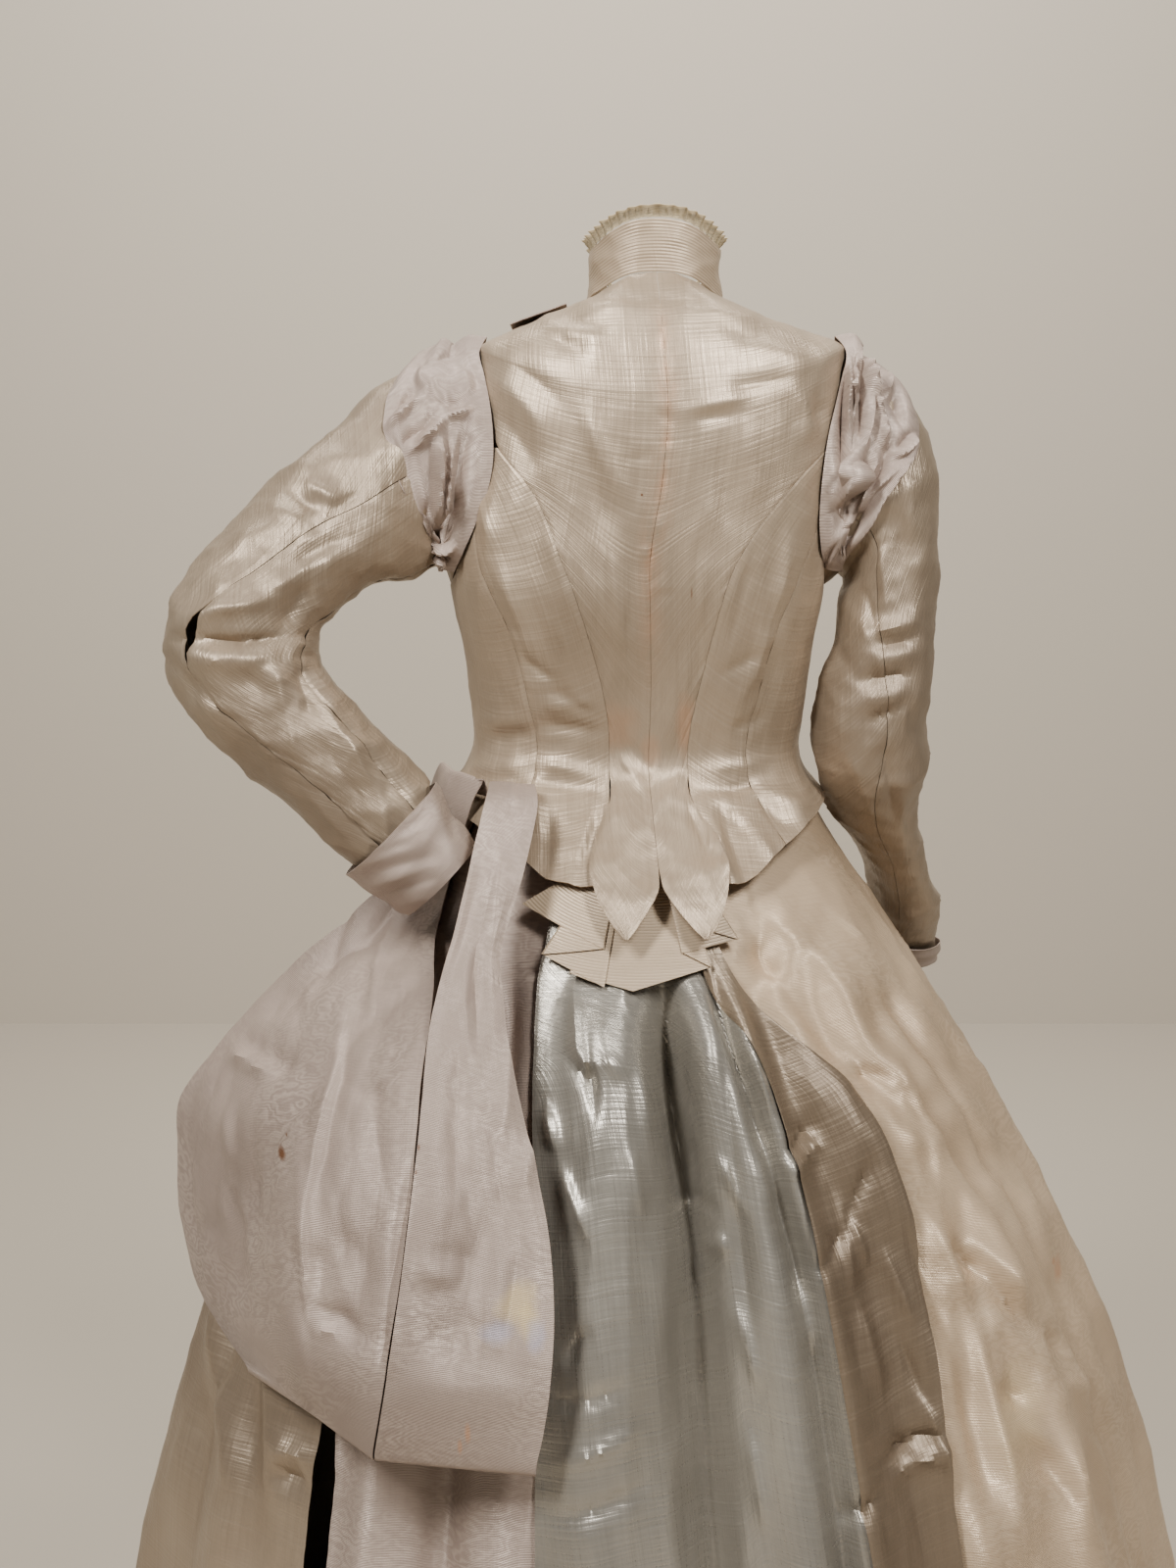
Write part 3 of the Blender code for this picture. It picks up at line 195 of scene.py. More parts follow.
def moved_out(form, angle, height, out):
    """Points of a form, moved out along its normal."""
    turn = 0.2
    drop = 0.001
    along = form(angle + turn, height) - form(angle - turn, height)
    down = form(angle, height - drop) - form(angle, height + drop)
    normal = np.cross(along, down)
    normal /= np.linalg.norm(normal, axis=-1, keepdims=True)
    return form(angle, height) + normal * np.asarray(out)[..., None]


def inset(form, angle, height, distance):
    """An edge's angles, moved round the form by a distance in metres."""
    turn = 0.2
    along = form(angle + turn, height) - form(angle - turn, height)
    per_degree = np.linalg.norm(along, axis=-1) / (2 * turn)
    return angle + distance / per_degree


def spread(first, last, count):
    """Columns between two edges, one row for each height."""
    share = np.linspace(0, 1, count)
    return first[:, None] * (1 - share) + last[:, None] * share


# %% [markdown]
# ## Creases, crinkles and puckers
# Taffeta is stiff and keeps every crease it gets. Three kinds show on this dress. The main
# creases are soft troughs and ridges, and each was placed where it lies on the dress.
# Crinkles are an uneven crumple all over, which a ridged noise gives. Puckers are the small
# waves that a tight row of stitching pulls into the silk on both sides of a seam.

# %% Noise and creases
SCATTER = 43758.5453      # turns a sine into a number that looks random
CELL_WEIGHTS = np.array([[127.1, 269.5, 113.5], [311.7, 183.3, 271.9], [74.7, 246.1, 124.6]])


def noise(point, size, seed=0.0):
    """Smooth noise from -1 to 1. Its blobs have the given size, along each axis."""
    place = point / np.asarray(size) + seed * 17.3
    cell = np.floor(place)
    part = place - cell
    part = part * part * (3 - 2 * part)
    total = 0.0
    for corner in product((0.0, 1.0), repeat=3):
        corner = np.array(corner)
        weight = np.prod(np.where(corner > 0, part, 1 - part), axis=-1)
        number = np.sin((cell + corner) @ CELL_WEIGHTS[:, 0]) * SCATTER
        total = total + weight * (number - np.floor(number))
    return total * 2 - 1


def crumple(point, size, seed):
    """Tilted facets that meet in sharp ridges, as in crumpled silk."""
    place = point / np.asarray(size) + seed * 17.3
    cell = np.floor(place)
    part = place - cell
    lowest = np.full(place.shape[:-1], 9.0)
    for step in product((-1.0, 0.0, 1.0), repeat=3):
        corner = cell + np.array(step)
        number = np.sin(corner @ CELL_WEIGHTS) * SCATTER
        random = number - np.floor(number)
        away = np.array(step) + random - part
        tilt = (random[..., ::-1] - 0.5) * 1.6
        lowest = np.minimum(lowest, (away * (away + tilt)).sum(axis=-1))
    return lowest * 1.6


CAMERA_SPOT = (0.0384, 1.65, 0.265)
CAMERA_DIP = 10.0         # degrees below level
PHOTO_MIDDLE = (600, 800)  # pixels of a picture 1200 wide and 1600 high
LENS_PIXELS = 2000        # the 45 mm lens, in pixels of that picture
BODICE_BEHIND = 0.10      # how far behind the waist the bodice and sleeves lie
SKIRT_BEHIND = 0.28
LOOP_BEHIND = 0.27
BODICE_GAIN = 1.5         # how much deeper the silk's creases are than their rows say
DRAPE_GAIN = 2.5
SKIRT_GAIN = 1.7
LOOP_GAIN = 1.5


def seen_at(across, down, depth):
    """Place of a point of the picture on the dress, in metres across and up.

    The depth is how far behind the waist the cloth lies there.
    """
    reach = CAMERA_SPOT[1] - depth
    up = np.arctan((PHOTO_MIDDLE[1] - down) / LENS_PIXELS) - math.radians(CAMERA_DIP)
    z = CAMERA_SPOT[2] + reach * np.tan(up)
    away = reach * math.cos(math.radians(CAMERA_DIP))
    away = away + (CAMERA_SPOT[2] - z) * math.sin(math.radians(CAMERA_DIP))
    return CAMERA_SPOT[0] - (across - PHOTO_MIDDLE[0]) * away / LENS_PIXELS, z


def creases(point, places, depth):
    """Height of the listed creases.

    A row runs from one point of the picture to another. Its width, height and bow to the side
    are in millimetres, and a negative height is a trough.
    """
    x = point[..., 0] * 1000
    z = point[..., 2] * 1000
    rise = np.zeros(x.shape)
    for u1, v1, u2, v2, width, height, bow in zip(*places.values()):
        x1, z1 = (1000 * place for place in seen_at(u1, v1, depth))
        x2, z2 = (1000 * place for place in seen_at(u2, v2, depth))
        length = math.hypot(x2 - x1, z2 - z1)
        along = ((x - x1) * (x2 - x1) + (z - z1) * (z2 - z1)) / length ** 2
        aside = ((x - x1) * (z2 - z1) - (z - z1) * (x2 - x1)) / length
        inside = np.clip(along, 0, 1)
        bent = aside - bow * 4 * inside * (1 - inside)
        fade = np.clip(1 - np.abs(along - 0.5) * 2 + 0.25, 0, 1)
        fade = fade * fade * (3 - 2 * fade)
        rise += height / 1000 * fade * np.exp(-(np.abs(bent) / width) ** 1.3)
    return rise


def puckers(across, width, down, size, seed):
    """Small waves that stitching pulls into the silk beside both edges of a piece."""
    edge = np.minimum(across, width - across)
    line = np.stack([down / 0.0065 + seed, edge / 0.05, np.zeros_like(down)], axis=-1)
    wave = noise(line, 1.0, seed)
    turn_in = np.exp(-(edge / 0.0018) ** 2)
    return size * wave * np.exp(-edge / 0.009) - 0.0004 * turn_in


# %% [markdown]
# ## From a flat grid to a worn piece
# Every piece of silk starts as a flat grid, like cloth on the cutting table. Its columns run
# across the piece and its rows run down it. The grid is then laid on its form, pushed out or in
# by the creases, and given its thickness by Solidify. Each piece also keeps a UV map in real
# metres, so that the weave has its true scale everywhere.

# %% Laying cloth
def distances(points):
    """How far each point lies along its row and down its column."""
    across = np.linalg.norm(np.diff(points, axis=1), axis=-1)
    down = np.linalg.norm(np.diff(points, axis=0), axis=-1)
    across = np.concatenate([np.zeros((len(points), 1)), np.cumsum(across, axis=1)], axis=1)
    down = np.concatenate([np.zeros((1, points.shape[1])), np.cumsum(down, axis=0)], axis=0)
    return across, down


def flat_grid(name, columns, rows):
    """A flat grid of faces, and the place of each point on it from 0 to 1."""
    bpy.ops.object.select_all(action="DESELECT")
    bpy.ops.mesh.primitive_grid_add(x_subdivisions=columns, y_subdivisions=rows, size=2,
                                    location=(0, 0, 0))
    piece = bpy.context.object
    piece.name = name
    piece.data.name = name
    flat = np.empty(len(piece.data.vertices) * 3)
    piece.data.vertices.foreach_get("co", flat)
    flat = flat.reshape(-1, 3)
    return piece, (flat[:, 0] + 1) / 2, (1 - flat[:, 1]) / 2


def write_uv(piece, across, down):
    """Give the piece a UV map in metres."""
    corner = np.empty(len(piece.data.loops), dtype=np.int64)
    piece.data.loops.foreach_get("vertex_index", corner)
    uv = np.stack([across[corner], down[corner]], axis=-1)
    piece.data.uv_layers.active.data.foreach_set("uv", uv.ravel())


def lay_cloth(name, form, columns, rows, lifts=(),
              thick=SHELL, angle=50, edge_fine=0.5):
    """The form takes places across and down the piece and how far to stand off, and every lift
    takes the points with their distances across and down.
    """
    piece, u, v = flat_grid(name + "_cloth", columns, rows)
    order = np.lexsort((u.round(6), v.round(6)))
    count_down = rows + 1
    shape = (count_down, len(u) // count_down)
    back = np.empty(len(u), dtype=np.int64)
    back[order] = np.arange(len(u))
    u = u[order]
    u = u - edge_fine * np.sin(2 * math.pi * u) / (2 * math.pi)
    v = v[order]
    base = form(u, v, np.zeros(len(u))).reshape(*shape, 3)
    across, down = distances(base)
    width = across[:, -1:] + np.zeros_like(across)
    rise = np.zeros(shape)
    for lift in lifts:
        rise = rise + lift(base, across, width, down)
    points = form(u, v, rise.ravel() - 0.0002).reshape(-1, 3)
    outer = form(u, v, rise.ravel() + 0.001).reshape(-1, 3)
    piece.data.vertices.foreach_set("co", points[back].ravel())
    piece.data.update()
    write_uv(piece, across.ravel()[back], down.ravel()[back])
    normal = np.empty(len(piece.data.vertices) * 3)
    piece.data.vertices.foreach_get("normal", normal)
    if ((outer - points)[back] * normal.reshape(-1, 3)).sum() < 0:
        piece.data.flip_normals()
    wall = piece.modifiers.new("wall", "SOLIDIFY")
    wall.thickness = thick
    wall.offset = -1.0
    bpy.context.view_layer.objects.active = piece
    bpy.ops.object.modifier_apply(modifier=wall.name)
    piece.select_set(True)
    bpy.ops.object.shade_smooth_by_angle(angle=math.radians(angle))
    grid = points.reshape(*shape, 3)
    across, down = distances(grid)
    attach(piece, "root")
    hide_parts(name)
    return piece


def on_table(grids, shape_of, u, v):
    """Read a piece's angles, heights and stand between its rows and columns."""
    rows, columns = grids[0].shape
    stops = shape_of(*grids)
    steps = np.linalg.norm(np.diff(stops, axis=0), axis=-1).mean(axis=1)
    reach = np.concatenate([[0], np.cumsum(steps)])
    row = np.interp(v * reach[-1], reach, np.arange(rows))
    column = u * (columns - 1)
    left = np.clip(np.floor(column).astype(int), 0, columns - 2)
    part = column - left
    found = []
    for grid in grids:
        lines = np.stack([smooth(np.arange(rows, dtype=float), grid[:, k], row)
                          for k in range(columns)], axis=-1)
        here = lines[np.arange(len(u)), left]
        there = lines[np.arange(len(u)), left + 1]
        found.append(here * (1 - part) + there * part)
    return found


# %% [markdown]
# ## The bodice
# The bodice is cut in shaped panels: two centre backs that end in petal tabs, two side backs and
# underarm pieces, and two fronts. Their edges come from the seam tables. Neighbours share the
# rows of their edges, so the seams close all the way down.

# %% Seams of the bodice
UNDER_PETAL = 0.0006
PRINCESS = table("height offset", [
    (0.262, 0.130),
    (0.235, 0.107),
    (0.190, 0.080),
    (0.145, 0.061),
    (0.115, 0.052),
    (0.050, 0.036),
    (0.010, 0.031),
    (-0.100, 0.031),
])
SEAMS = table("height side_body side", [
    (0.235, 62.5, 88.0),
    (0.210, 61.9, 88.0),
    (0.190, 59.0, 88.0),
    (0.145, 49.0, 88.0),
    (0.115, 43.0, 91.0),
    (0.050, 37.0, 94.0),
    (0.010, 33.5, 95.0),
    (-0.100, 36.0, 95.0),
])
BASQUE_HEM = table("angle depth", [
    (0.0, 0.078),
    (9.0, 0.078),
    (16.0, 0.080),
    (26.0, 0.066),
    (45.0, 0.046),
    (70.0, 0.034),
    (95.0, 0.030),
    (130.0, 0.036),
    (180.0, 0.062),
])
PETAL = table("height inner outer lift", [
    (0.000, 0.0000, 0.0310, 0.0000),
    (-0.010, 0.0000, 0.0310, 0.0012),
    (-0.022, 0.0000, 0.0325, 0.0035),
    (-0.045, 0.0000, 0.0455, 0.0055),
    (-0.068, 0.0000, 0.0530, 0.0070),
    (-0.082, 0.0010, 0.0520, 0.0080),
    (-0.097, 0.0110, 0.0460, 0.0085),
    (-0.109, 0.0215, 0.0385, 0.0085),
    (-0.116, 0.0285, 0.0320, 0.0085),
])
ARMHOLE_TOP = 0.338
ARMHOLE_BOTTOM = 0.145
ARMHOLE_ANGLE = 88.0
ARMHOLE_BACK = 27.0
ARMHOLE_FRONT = 28.0
YOKE_HEIGHTS = (0.372, 0.362, 0.356, 0.350, 0.344, 0.338)
ARMHOLE_HEIGHTS = (0.331, 0.316, 0.292, 0.262, 0.235, 0.210, 0.190, 0.170, 0.154, 0.147, 0.145)
SIDE_HEIGHTS = (0.120, 0.090, 0.060, 0.030, 0.0)
BASQUE_SHARES = (0.2, 0.45, 0.75, 1.0)
PRINCESS_TOP = 0.262
SIDE_BODY_TOP = 0.210


def armhole_back(height):
    """Back edge of the armhole in degrees, at a height of the side."""
    middle = (ARMHOLE_TOP + ARMHOLE_BOTTOM) / 2
    reach = (ARMHOLE_TOP - ARMHOLE_BOTTOM) / 2
    share = np.sqrt(np.clip(1 - ((height - middle) / reach) ** 2, 0, 1))
    return ARMHOLE_ANGLE - ARMHOLE_BACK * share


def armhole_front(height):
    """Front edge of the armhole in degrees, at a height of the side."""
    share = (ARMHOLE_ANGLE - armhole_back(height)) / ARMHOLE_BACK
    return ARMHOLE_ANGLE + ARMHOLE_FRONT * share


def angle_beside_centre(height, offset, side):
    """Degrees from the centre back, without sign, at a distance from the centre seam."""
    half_width = bodice_half_width(height)
    turn = read(BODICE, "turn", height)
    centre_seam = section(turn, half_width, 1.0, 1.0)[0]
    return side * (angle_at(centre_seam + side * offset, half_width) - turn)


def princess(height, side):
    """The princess seam, a hair further out under the petal."""
    offset = read(PRINCESS, "offset", height) + np.where(height < 0, UNDER_PETAL, 0.0)
    return angle_beside_centre(height, offset, side)


def side_body(height, side):
    """The side-body seam, which starts at the armhole."""
    seam = read(SEAMS, "side_body", height)
    return np.where(height > SIDE_BODY_TOP, armhole_back(height), seam)


def side_of_underarm(height, side):
    """Front edge of the underarm piece: armhole, then side seam."""
    return np.where(height > ARMHOLE_BOTTOM, armhole_back(height), read(SEAMS, "side", height))


def back_outer_edge(height, side):
    """Outer edge of the back: shoulder seam, then armhole, then princess seam."""
    edge = np.where(height > ARMHOLE_TOP, ARMHOLE_ANGLE, armhole_back(height))
    return np.where(height <= PRINCESS_TOP, princess(height, side), edge)


def front_outer_edge(height, side):
    """Outer edge of the front: shoulder seam, then armhole, then side seam."""
    edge = np.where(height > ARMHOLE_BOTTOM, armhole_front(height), read(SEAMS, "side", height))
    return np.where(height > ARMHOLE_TOP, ARMHOLE_ANGLE, edge)


def centre_back(height, side):
    return np.zeros(np.shape(height))


def centre_front(height, side):
    return np.full(np.shape(height), 180.0)


def bodice_grid(heights, near, far, columns, side):
    """Angles and heights of a bodice piece between two seams."""
    angles = side * spread(near(heights, side), far(heights, side), columns)
    grid_height = np.repeat(heights[:, None], columns, axis=1)
    return angles, grid_height


def leave_seam_gaps(angles, grid_height, side):
    """Set a piece's two edges back by half the seam gap."""
    edge = SEAM_GAP / 2 * side
    angles[:, 0] = inset(bodice_form, angles[:, 0], grid_height[:, 0], edge)
    angles[:, -1] = inset(bodice_form, angles[:, -1], grid_height[:, -1], -edge)


def basque_grid(near, far, columns, side):
    """The rows below the waist, which follow the basque's hem."""
    shares = np.array(BASQUE_SHARES)
    angles = side * spread(near(-0.05 * shares, side), far(-0.05 * shares, side), columns)
    depth = read(BASQUE_HEM, "depth", np.abs(angles))
    return angles, -shares[:, None] * depth


# %% [markdown]
# The main creases of the back were read off one by one: drag lines under the collar and from the
# armholes, long soft ridges that run down to the waist, and the flutes of the peplum below it.

# %% Creases of the bodice
BODICE_CREASES = table("u1 v1 u2 v2 width height bow", [
    (602, 297, 668, 303, 4, -1.6, 0),
    (600, 308, 662, 312, 5, 1.2, 0),
    (671, 297, 728, 310, 4, -1.8, 0),
    (700, 312, 775, 322, 5, 1.4, 0),
    (557, 337, 596, 360, 6, -2.6, 0),
    (566, 322, 620, 330, 5, -1.8, 0),
    (545, 318, 600, 345, 6, 1.6, 0),
    (597, 330, 612, 352, 5, 1.5, 0),
    (493, 380, 560, 452, 12, 3, 8),
    (500, 362, 575, 420, 9, -2.4, 6),
    (500, 420, 545, 480, 10, -2, 4),
    (738, 396, 812, 384, 5, -2.6, 0),
    (695, 419, 765, 405, 6, 2.4, 0),
    (705, 428, 760, 420, 5, -1.8, 0),
    (740, 333, 782, 345, 5, -1.8, 0),
    (770, 352, 840, 372, 7, 2.2, 0),
    (760, 325, 850, 362, 6, -1.8, 0),
    (812, 392, 832, 450, 7, 3, 3),
    (828, 428, 852, 414, 4, -2, 0),
    (835, 395, 845, 440, 5, -2, 0),
    (800, 400, 818, 440, 6, -1.6, 0),
    (599, 407, 640, 510, 9, 2.4, -4),
    (612, 520, 637, 660, 9, 2.2, 0),
    (590, 430, 622, 560, 7, -1.8, 0),
    (645, 560, 640, 680, 6, -1.4, 0),
    (757, 425, 774, 526, 10, 2.2, 0),
    (735, 440, 742, 540, 8, -1.8, 0),
    (806, 530, 789, 640, 8, 2.8, 4),
    (790, 630, 757, 720, 8, 2.2, 4),
    (770, 560, 745, 660, 9, -1.8, 0),
    (722, 560, 712, 640, 6, 1.6, 0),
    (703, 640, 700, 730, 6, 1.4, 0),
    (482, 490, 508, 562, 8, 2.4, 0),
    (506, 559, 546, 700, 8, 2.4, 0),
    (560, 540, 585, 640, 10, 1.6, 0),
    (520, 620, 545, 700, 7, -1.8, 0),
    (533, 676, 566, 698, 4, -1.8, 0),
    (545, 742, 616, 750, 6, -2.6, 0),
    (548, 725, 612, 716, 6, 1.8, 0),
    (556, 704, 606, 730, 5, -1.6, 0),
    (490, 765, 552, 750, 6, -2.4, 0),
    (478, 748, 540, 738, 7, 1.6, 0),
    (478, 797, 546, 782, 5, 2.4, 0),
    (545, 784, 616, 797, 5, 2.6, 2),
    (478, 812, 540, 800, 5, -2, 0),
    (542, 800, 612, 806, 5, -2.2, 0),
    (631, 773, 659, 807, 4, 1.8, 0),
    (640, 760, 668, 792, 4, -1.4, 0),
    (698, 790, 680, 812, 4, 1.6, 0),
    (710, 805, 790, 800, 5, -2.6, -3),
    (712, 790, 792, 783, 6, 2, 0),
    (742, 750, 792, 735, 6, -1.8, 0),
    (735, 690, 785, 668, 5, -1.6, 0),
    (716, 818, 747, 912, 6, 3.2, 4),
    (730, 820, 768, 850, 5, -2.4, 0),
    (736, 830, 762, 895, 5, -2.8, 0),
    (748, 822, 790, 876, 6, 3, 0),
    (770, 815, 812, 850, 5, -2.6, 0),
    (775, 808, 830, 838, 6, 2.4, 0),
    (700, 815, 725, 870, 4, -2, 0),
    (602, 818, 566, 908, 7, 3.2, 5),
    (616, 812, 585, 880, 5, -2.6, 4),
    (566, 812, 556, 880, 7, -2.6, 0),
    (545, 815, 552, 850, 8, 1.8, 0),
    (652, 560, 662, 566, 3, 1, 0),
    (668, 420, 690, 430, 4, -1, 0),
    (640, 470, 668, 462, 4, -1, 0),
    (665, 610, 690, 604, 3, -1, 0),
])


BODICE_SEED = 2           # one for all its pieces, so that the relief runs on over the seams


def bodice_lifts(seed, pucker=0.0006):
    """The lifts that every bodice piece gets."""
    def worn(base, across, width, down):
        slack = noise(base, (0.030, 0.06, 0.090), BODICE_SEED) * 0.0022
        soft = crumple(base, (0.034, 0.034, 0.075), BODICE_SEED) * 0.0021
        fine = crumple(base, (0.013, 0.013, 0.024), BODICE_SEED + 1) * 0.0006
        below = np.clip(-base[..., 2] / 0.02, 0, 1)
        drawn = noise(base, (0.030, 0.030, 0.0045), BODICE_SEED + 2) * 0.0003 * below
        placed = creases(base, BODICE_CREASES, BODICE_BEHIND) * BODICE_GAIN
        return slack + soft + fine + drawn + placed

    def seams(base, across, width, down):
        return puckers(across, width, down, pucker, seed)

    return [worn, seams]


# %% Bodice panels
WAIST_ROUNDING = 0.018    # the corner at the waist is rounded over this much of its height


def bodice_place(angle, height, out):
    """A point on the bodice. The corner at the waist is rounded off."""
    point = moved_out(bodice_form, angle, height, out)
    nearby = [moved_out(bodice_form, angle, height + step, out)
              for step in np.linspace(-WAIST_ROUNDING, WAIST_ROUNDING, 7)]
    soft = np.exp(-(np.asarray(height) / 0.032) ** 4)[..., None]
    return point * (1 - soft) + np.mean(nearby, axis=0) * soft


def bodice_cloth(name, angles, heights, out, columns, rows, seed):
    """Lay one bodice panel from its angles, heights and stand."""
    def form(u, v, lift):
        angle, height, stand = on_table((angles, heights, out), bodice_place, u, v)
        return bodice_place(angle, height, stand + lift)
    return lay_cloth(name, form, columns, rows, bodice_lifts(seed))


def bodice_panel(name, heights, near, far, side, columns, rows, seed):
    """A panel between two seams, from its top row down to the basque's hem."""
    angles, grid_height = bodice_grid(np.array(heights), near, far, 5, side)
    low_angles, low_height = basque_grid(near, far, 5, side)
    angles = np.concatenate([angles, low_angles])
    grid_height = np.concatenate([grid_height, low_height])
    leave_seam_gaps(angles, grid_height, side)
    return bodice_cloth(name, angles, grid_height, np.zeros(angles.shape), columns, rows, seed)


def back_panel(name, side, seed):
    """Half of the back with its petal tab, which lifts off the basque."""
    heights = np.array(YOKE_HEIGHTS + ARMHOLE_HEIGHTS + SIDE_HEIGHTS)
    angles, grid_height = bodice_grid(heights, centre_back, back_outer_edge, 5, side)
    leave_seam_gaps(angles, grid_height, side)
    tab = PETAL["height"][1:]
    inner = angle_beside_centre(tab, PETAL["inner"][1:] + SEAM_GAP / 2, side)
    outer = angle_beside_centre(tab, PETAL["outer"][1:] - SEAM_GAP / 2, side)
    angles = np.concatenate([angles, side * spread(inner, outer, 5)])
    grid_height = np.concatenate([grid_height, np.repeat(tab[:, None], 5, axis=1)])
    out = np.zeros(angles.shape)
    out[len(heights):] = PETAL["lift"][1:, None]
    return bodice_cloth(name, angles, grid_height, out, 40, 150, seed)


bodice_pieces = []
for end, side in (("_left", 1), ("_right", -1)):
    whole = YOKE_HEIGHTS + ARMHOLE_HEIGHTS + SIDE_HEIGHTS
    below_princess = ARMHOLE_HEIGHTS[ARMHOLE_HEIGHTS.index(PRINCESS_TOP):] + SIDE_HEIGHTS
    below_side_body = ARMHOLE_HEIGHTS[ARMHOLE_HEIGHTS.index(SIDE_BODY_TOP):] + SIDE_HEIGHTS
    bodice_pieces += [
        back_panel("back" + end, side, 1 + side),
        bodice_panel("side_back" + end, below_princess, princess, side_body, side, 30, 100, 4 + side),
        bodice_panel("underarm" + end, below_side_body, side_body, side_of_underarm, side, 26, 64,
                     7 + side),
        bodice_panel("front" + end, whole, front_outer_edge, centre_front, side, 40, 90, 10 + side),
    ]

# %% [markdown]
# ## Sleeves and cuffs
# Each sleeve has a top and an under piece. The left arm is bent, so its cloth folds sharply
# inside the elbow, and the seam over the elbow has burst open over a thumb's width.

# %% Sleeve measurements
SLEEVE_LEFT = table("step x y z tilt half_out half_back", [
    (1, 0.160, 0.006, 0.246, 88.0, 0.087, 0.058),
    (2, 0.185, 0.025, 0.233, 74.0, 0.075, 0.058),
    (3, 0.213, 0.052, 0.213, 65.0, 0.067, 0.058),
    (4, 0.246, 0.078, 0.195, 56.0, 0.055, 0.057),
    (5, 0.279, 0.108, 0.165, 41.0, 0.052, 0.057),
    (6, 0.296, 0.123, 0.145, 26.0, 0.054, 0.057),
    (7, 0.305, 0.134, 0.124, 11.0, 0.057, 0.057),
    (8, 0.306, 0.142, 0.103, -1.0, 0.057, 0.055),
    (9, 0.297, 0.146, 0.079, -16.0, 0.054, 0.052),
    (10, 0.276, 0.149, 0.053, -34.0, 0.050, 0.049),
    (11, 0.240, 0.149, 0.017, -40.0, 0.046, 0.045),
    (12, 0.201, 0.146, -0.026, -45.0, 0.042, 0.040),
    (13, 0.176, 0.142, -0.055, -45.0, 0.038, 0.036),
    (14, 0.154, 0.137, -0.079, -45.0, 0.036, 0.034),
])
SLEEVE_RIGHT = table("step x y z tilt half_out half_back", [
    (1, -0.174, 0.000, 0.243, 88.0, 0.086, 0.058),
    (2, -0.200, 0.003, 0.225, 72.0, 0.077, 0.057),
    (3, -0.211, 0.007, 0.194, 56.0, 0.065, 0.056),
    (4, -0.210, 0.013, 0.154, 37.0, 0.050, 0.054),
    (5, -0.207, 0.019, 0.113, 14.0, 0.043, 0.053),
    (6, -0.201, 0.023, 0.068, 3.0, 0.046, 0.053),
    (7, -0.197, 0.022, 0.026, 0.0, 0.048, 0.052),
    (8, -0.199, 0.014, -0.014, -2.0, 0.044, 0.050),
    (9, -0.211, -0.014, -0.058, -6.0, 0.037, 0.047),
    (10, -0.233, -0.052, -0.104, -16.0, 0.032, 0.045),
    (11, -0.248, -0.092, -0.154, -10.0, 0.031, 0.042),
    (12, -0.253, -0.122, -0.190, -5.0, 0.030, 0.040),
    (13, -0.254, -0.141, -0.216, -3.0, 0.030, 0.038),
])
SLEEVE_SEAMS_LEFT = table("step back_seam front_seam", [
    (0, 92.0, 168.0),
    (4, 86.0, 165.0),
    (6, 74.0, 160.0),
    (8, 54.0, 152.0),
    (10, 72.0, 142.0),
    (14, 84.0, 126.0),
])
SLEEVE_SEAMS_RIGHT = table("step back_seam front_seam", [
    (0, 118.0, 236.0),
    (4, 112.0, 240.0),
    (7, 80.0, 245.0),
    (9, 100.0, 240.0),
    (13, 112.0, 236.0),
])
ARMHOLE_HALF_DEPTH = 0.060
ARMHOLE_STAND = 0.0010
ARMHOLE_TUCK = 0.0010
SLEEVE_SHARES = (0, 0.035, 0.075, 0.14, 0.21, 0.28, 0.35, 0.41, 0.46, 0.51, 0.545, 0.59, 0.64,
                 0.70, 0.77, 0.85, 0.93, 1)
RIP_SHARES = (0.50, 0.55)
RIP_TURN = 3.4


def armhole_loop(turns, side, out):
    """The armhole's edge as the sleeve meets it, a hair outside the bodice."""
    sine = np.sin(np.radians(turns))
    middle = (ARMHOLE_TOP + ARMHOLE_BOTTOM) / 2
    reach = (ARMHOLE_TOP - ARMHOLE_BOTTOM) / 2
    grown = out - ARMHOLE_TUCK
    swing = np.where(sine > 0, ARMHOLE_BACK, ARMHOLE_FRONT) * (1 + grown / ARMHOLE_HALF_DEPTH)
    height = middle + (reach + grown) * np.cos(np.radians(turns))
    angle = side * (ARMHOLE_ANGLE - swing * sine)
    return moved_out(bodice_form, angle, height, np.full(angle.shape, ARMHOLE_STAND))


def sleeve_surface(source, side, steps, turns, out):
    """Points of a sleeve: steps run down the arm from the armhole, turns go round it."""
    steps, turns = np.broadcast_arrays(np.asarray(steps, float), np.asarray(turns, float))
    wide = (read(source, "half_out", steps) + out) * np.cos(np.radians(turns))
    deep = (read(source, "half_back", steps) + out) * np.sin(np.radians(turns))
    tilt = np.radians(read(source, "tilt", steps))
    x = read(source, "x", steps) + side * wide * np.cos(tilt)
    y = read(source, "y", steps) + deep
    z = read(source, "z", steps) + wide * np.sin(tilt)
    point = np.stack([x, y, z], axis=-1)
    share = np.clip(steps, 0, 1)[..., None]
    return armhole_loop(turns, side, out) * (1 - share) + point * share


def seam_of(source, seams, column, away, turned=0.0, torn=0.0):
    """A sleeve's seam in degrees, set back by half the seam gap and by the rip."""
    def edge(steps):
        gap = np.degrees(SEAM_GAP / read(source, "half_back", steps))
        share = steps / source["step"][-1]
        rip = np.where((share > RIP_SHARES[0]) & (share < RIP_SHARES[1]), torn, 0.0)
        return read(seams, column, steps) + turned + away * (gap + rip)
    return edge


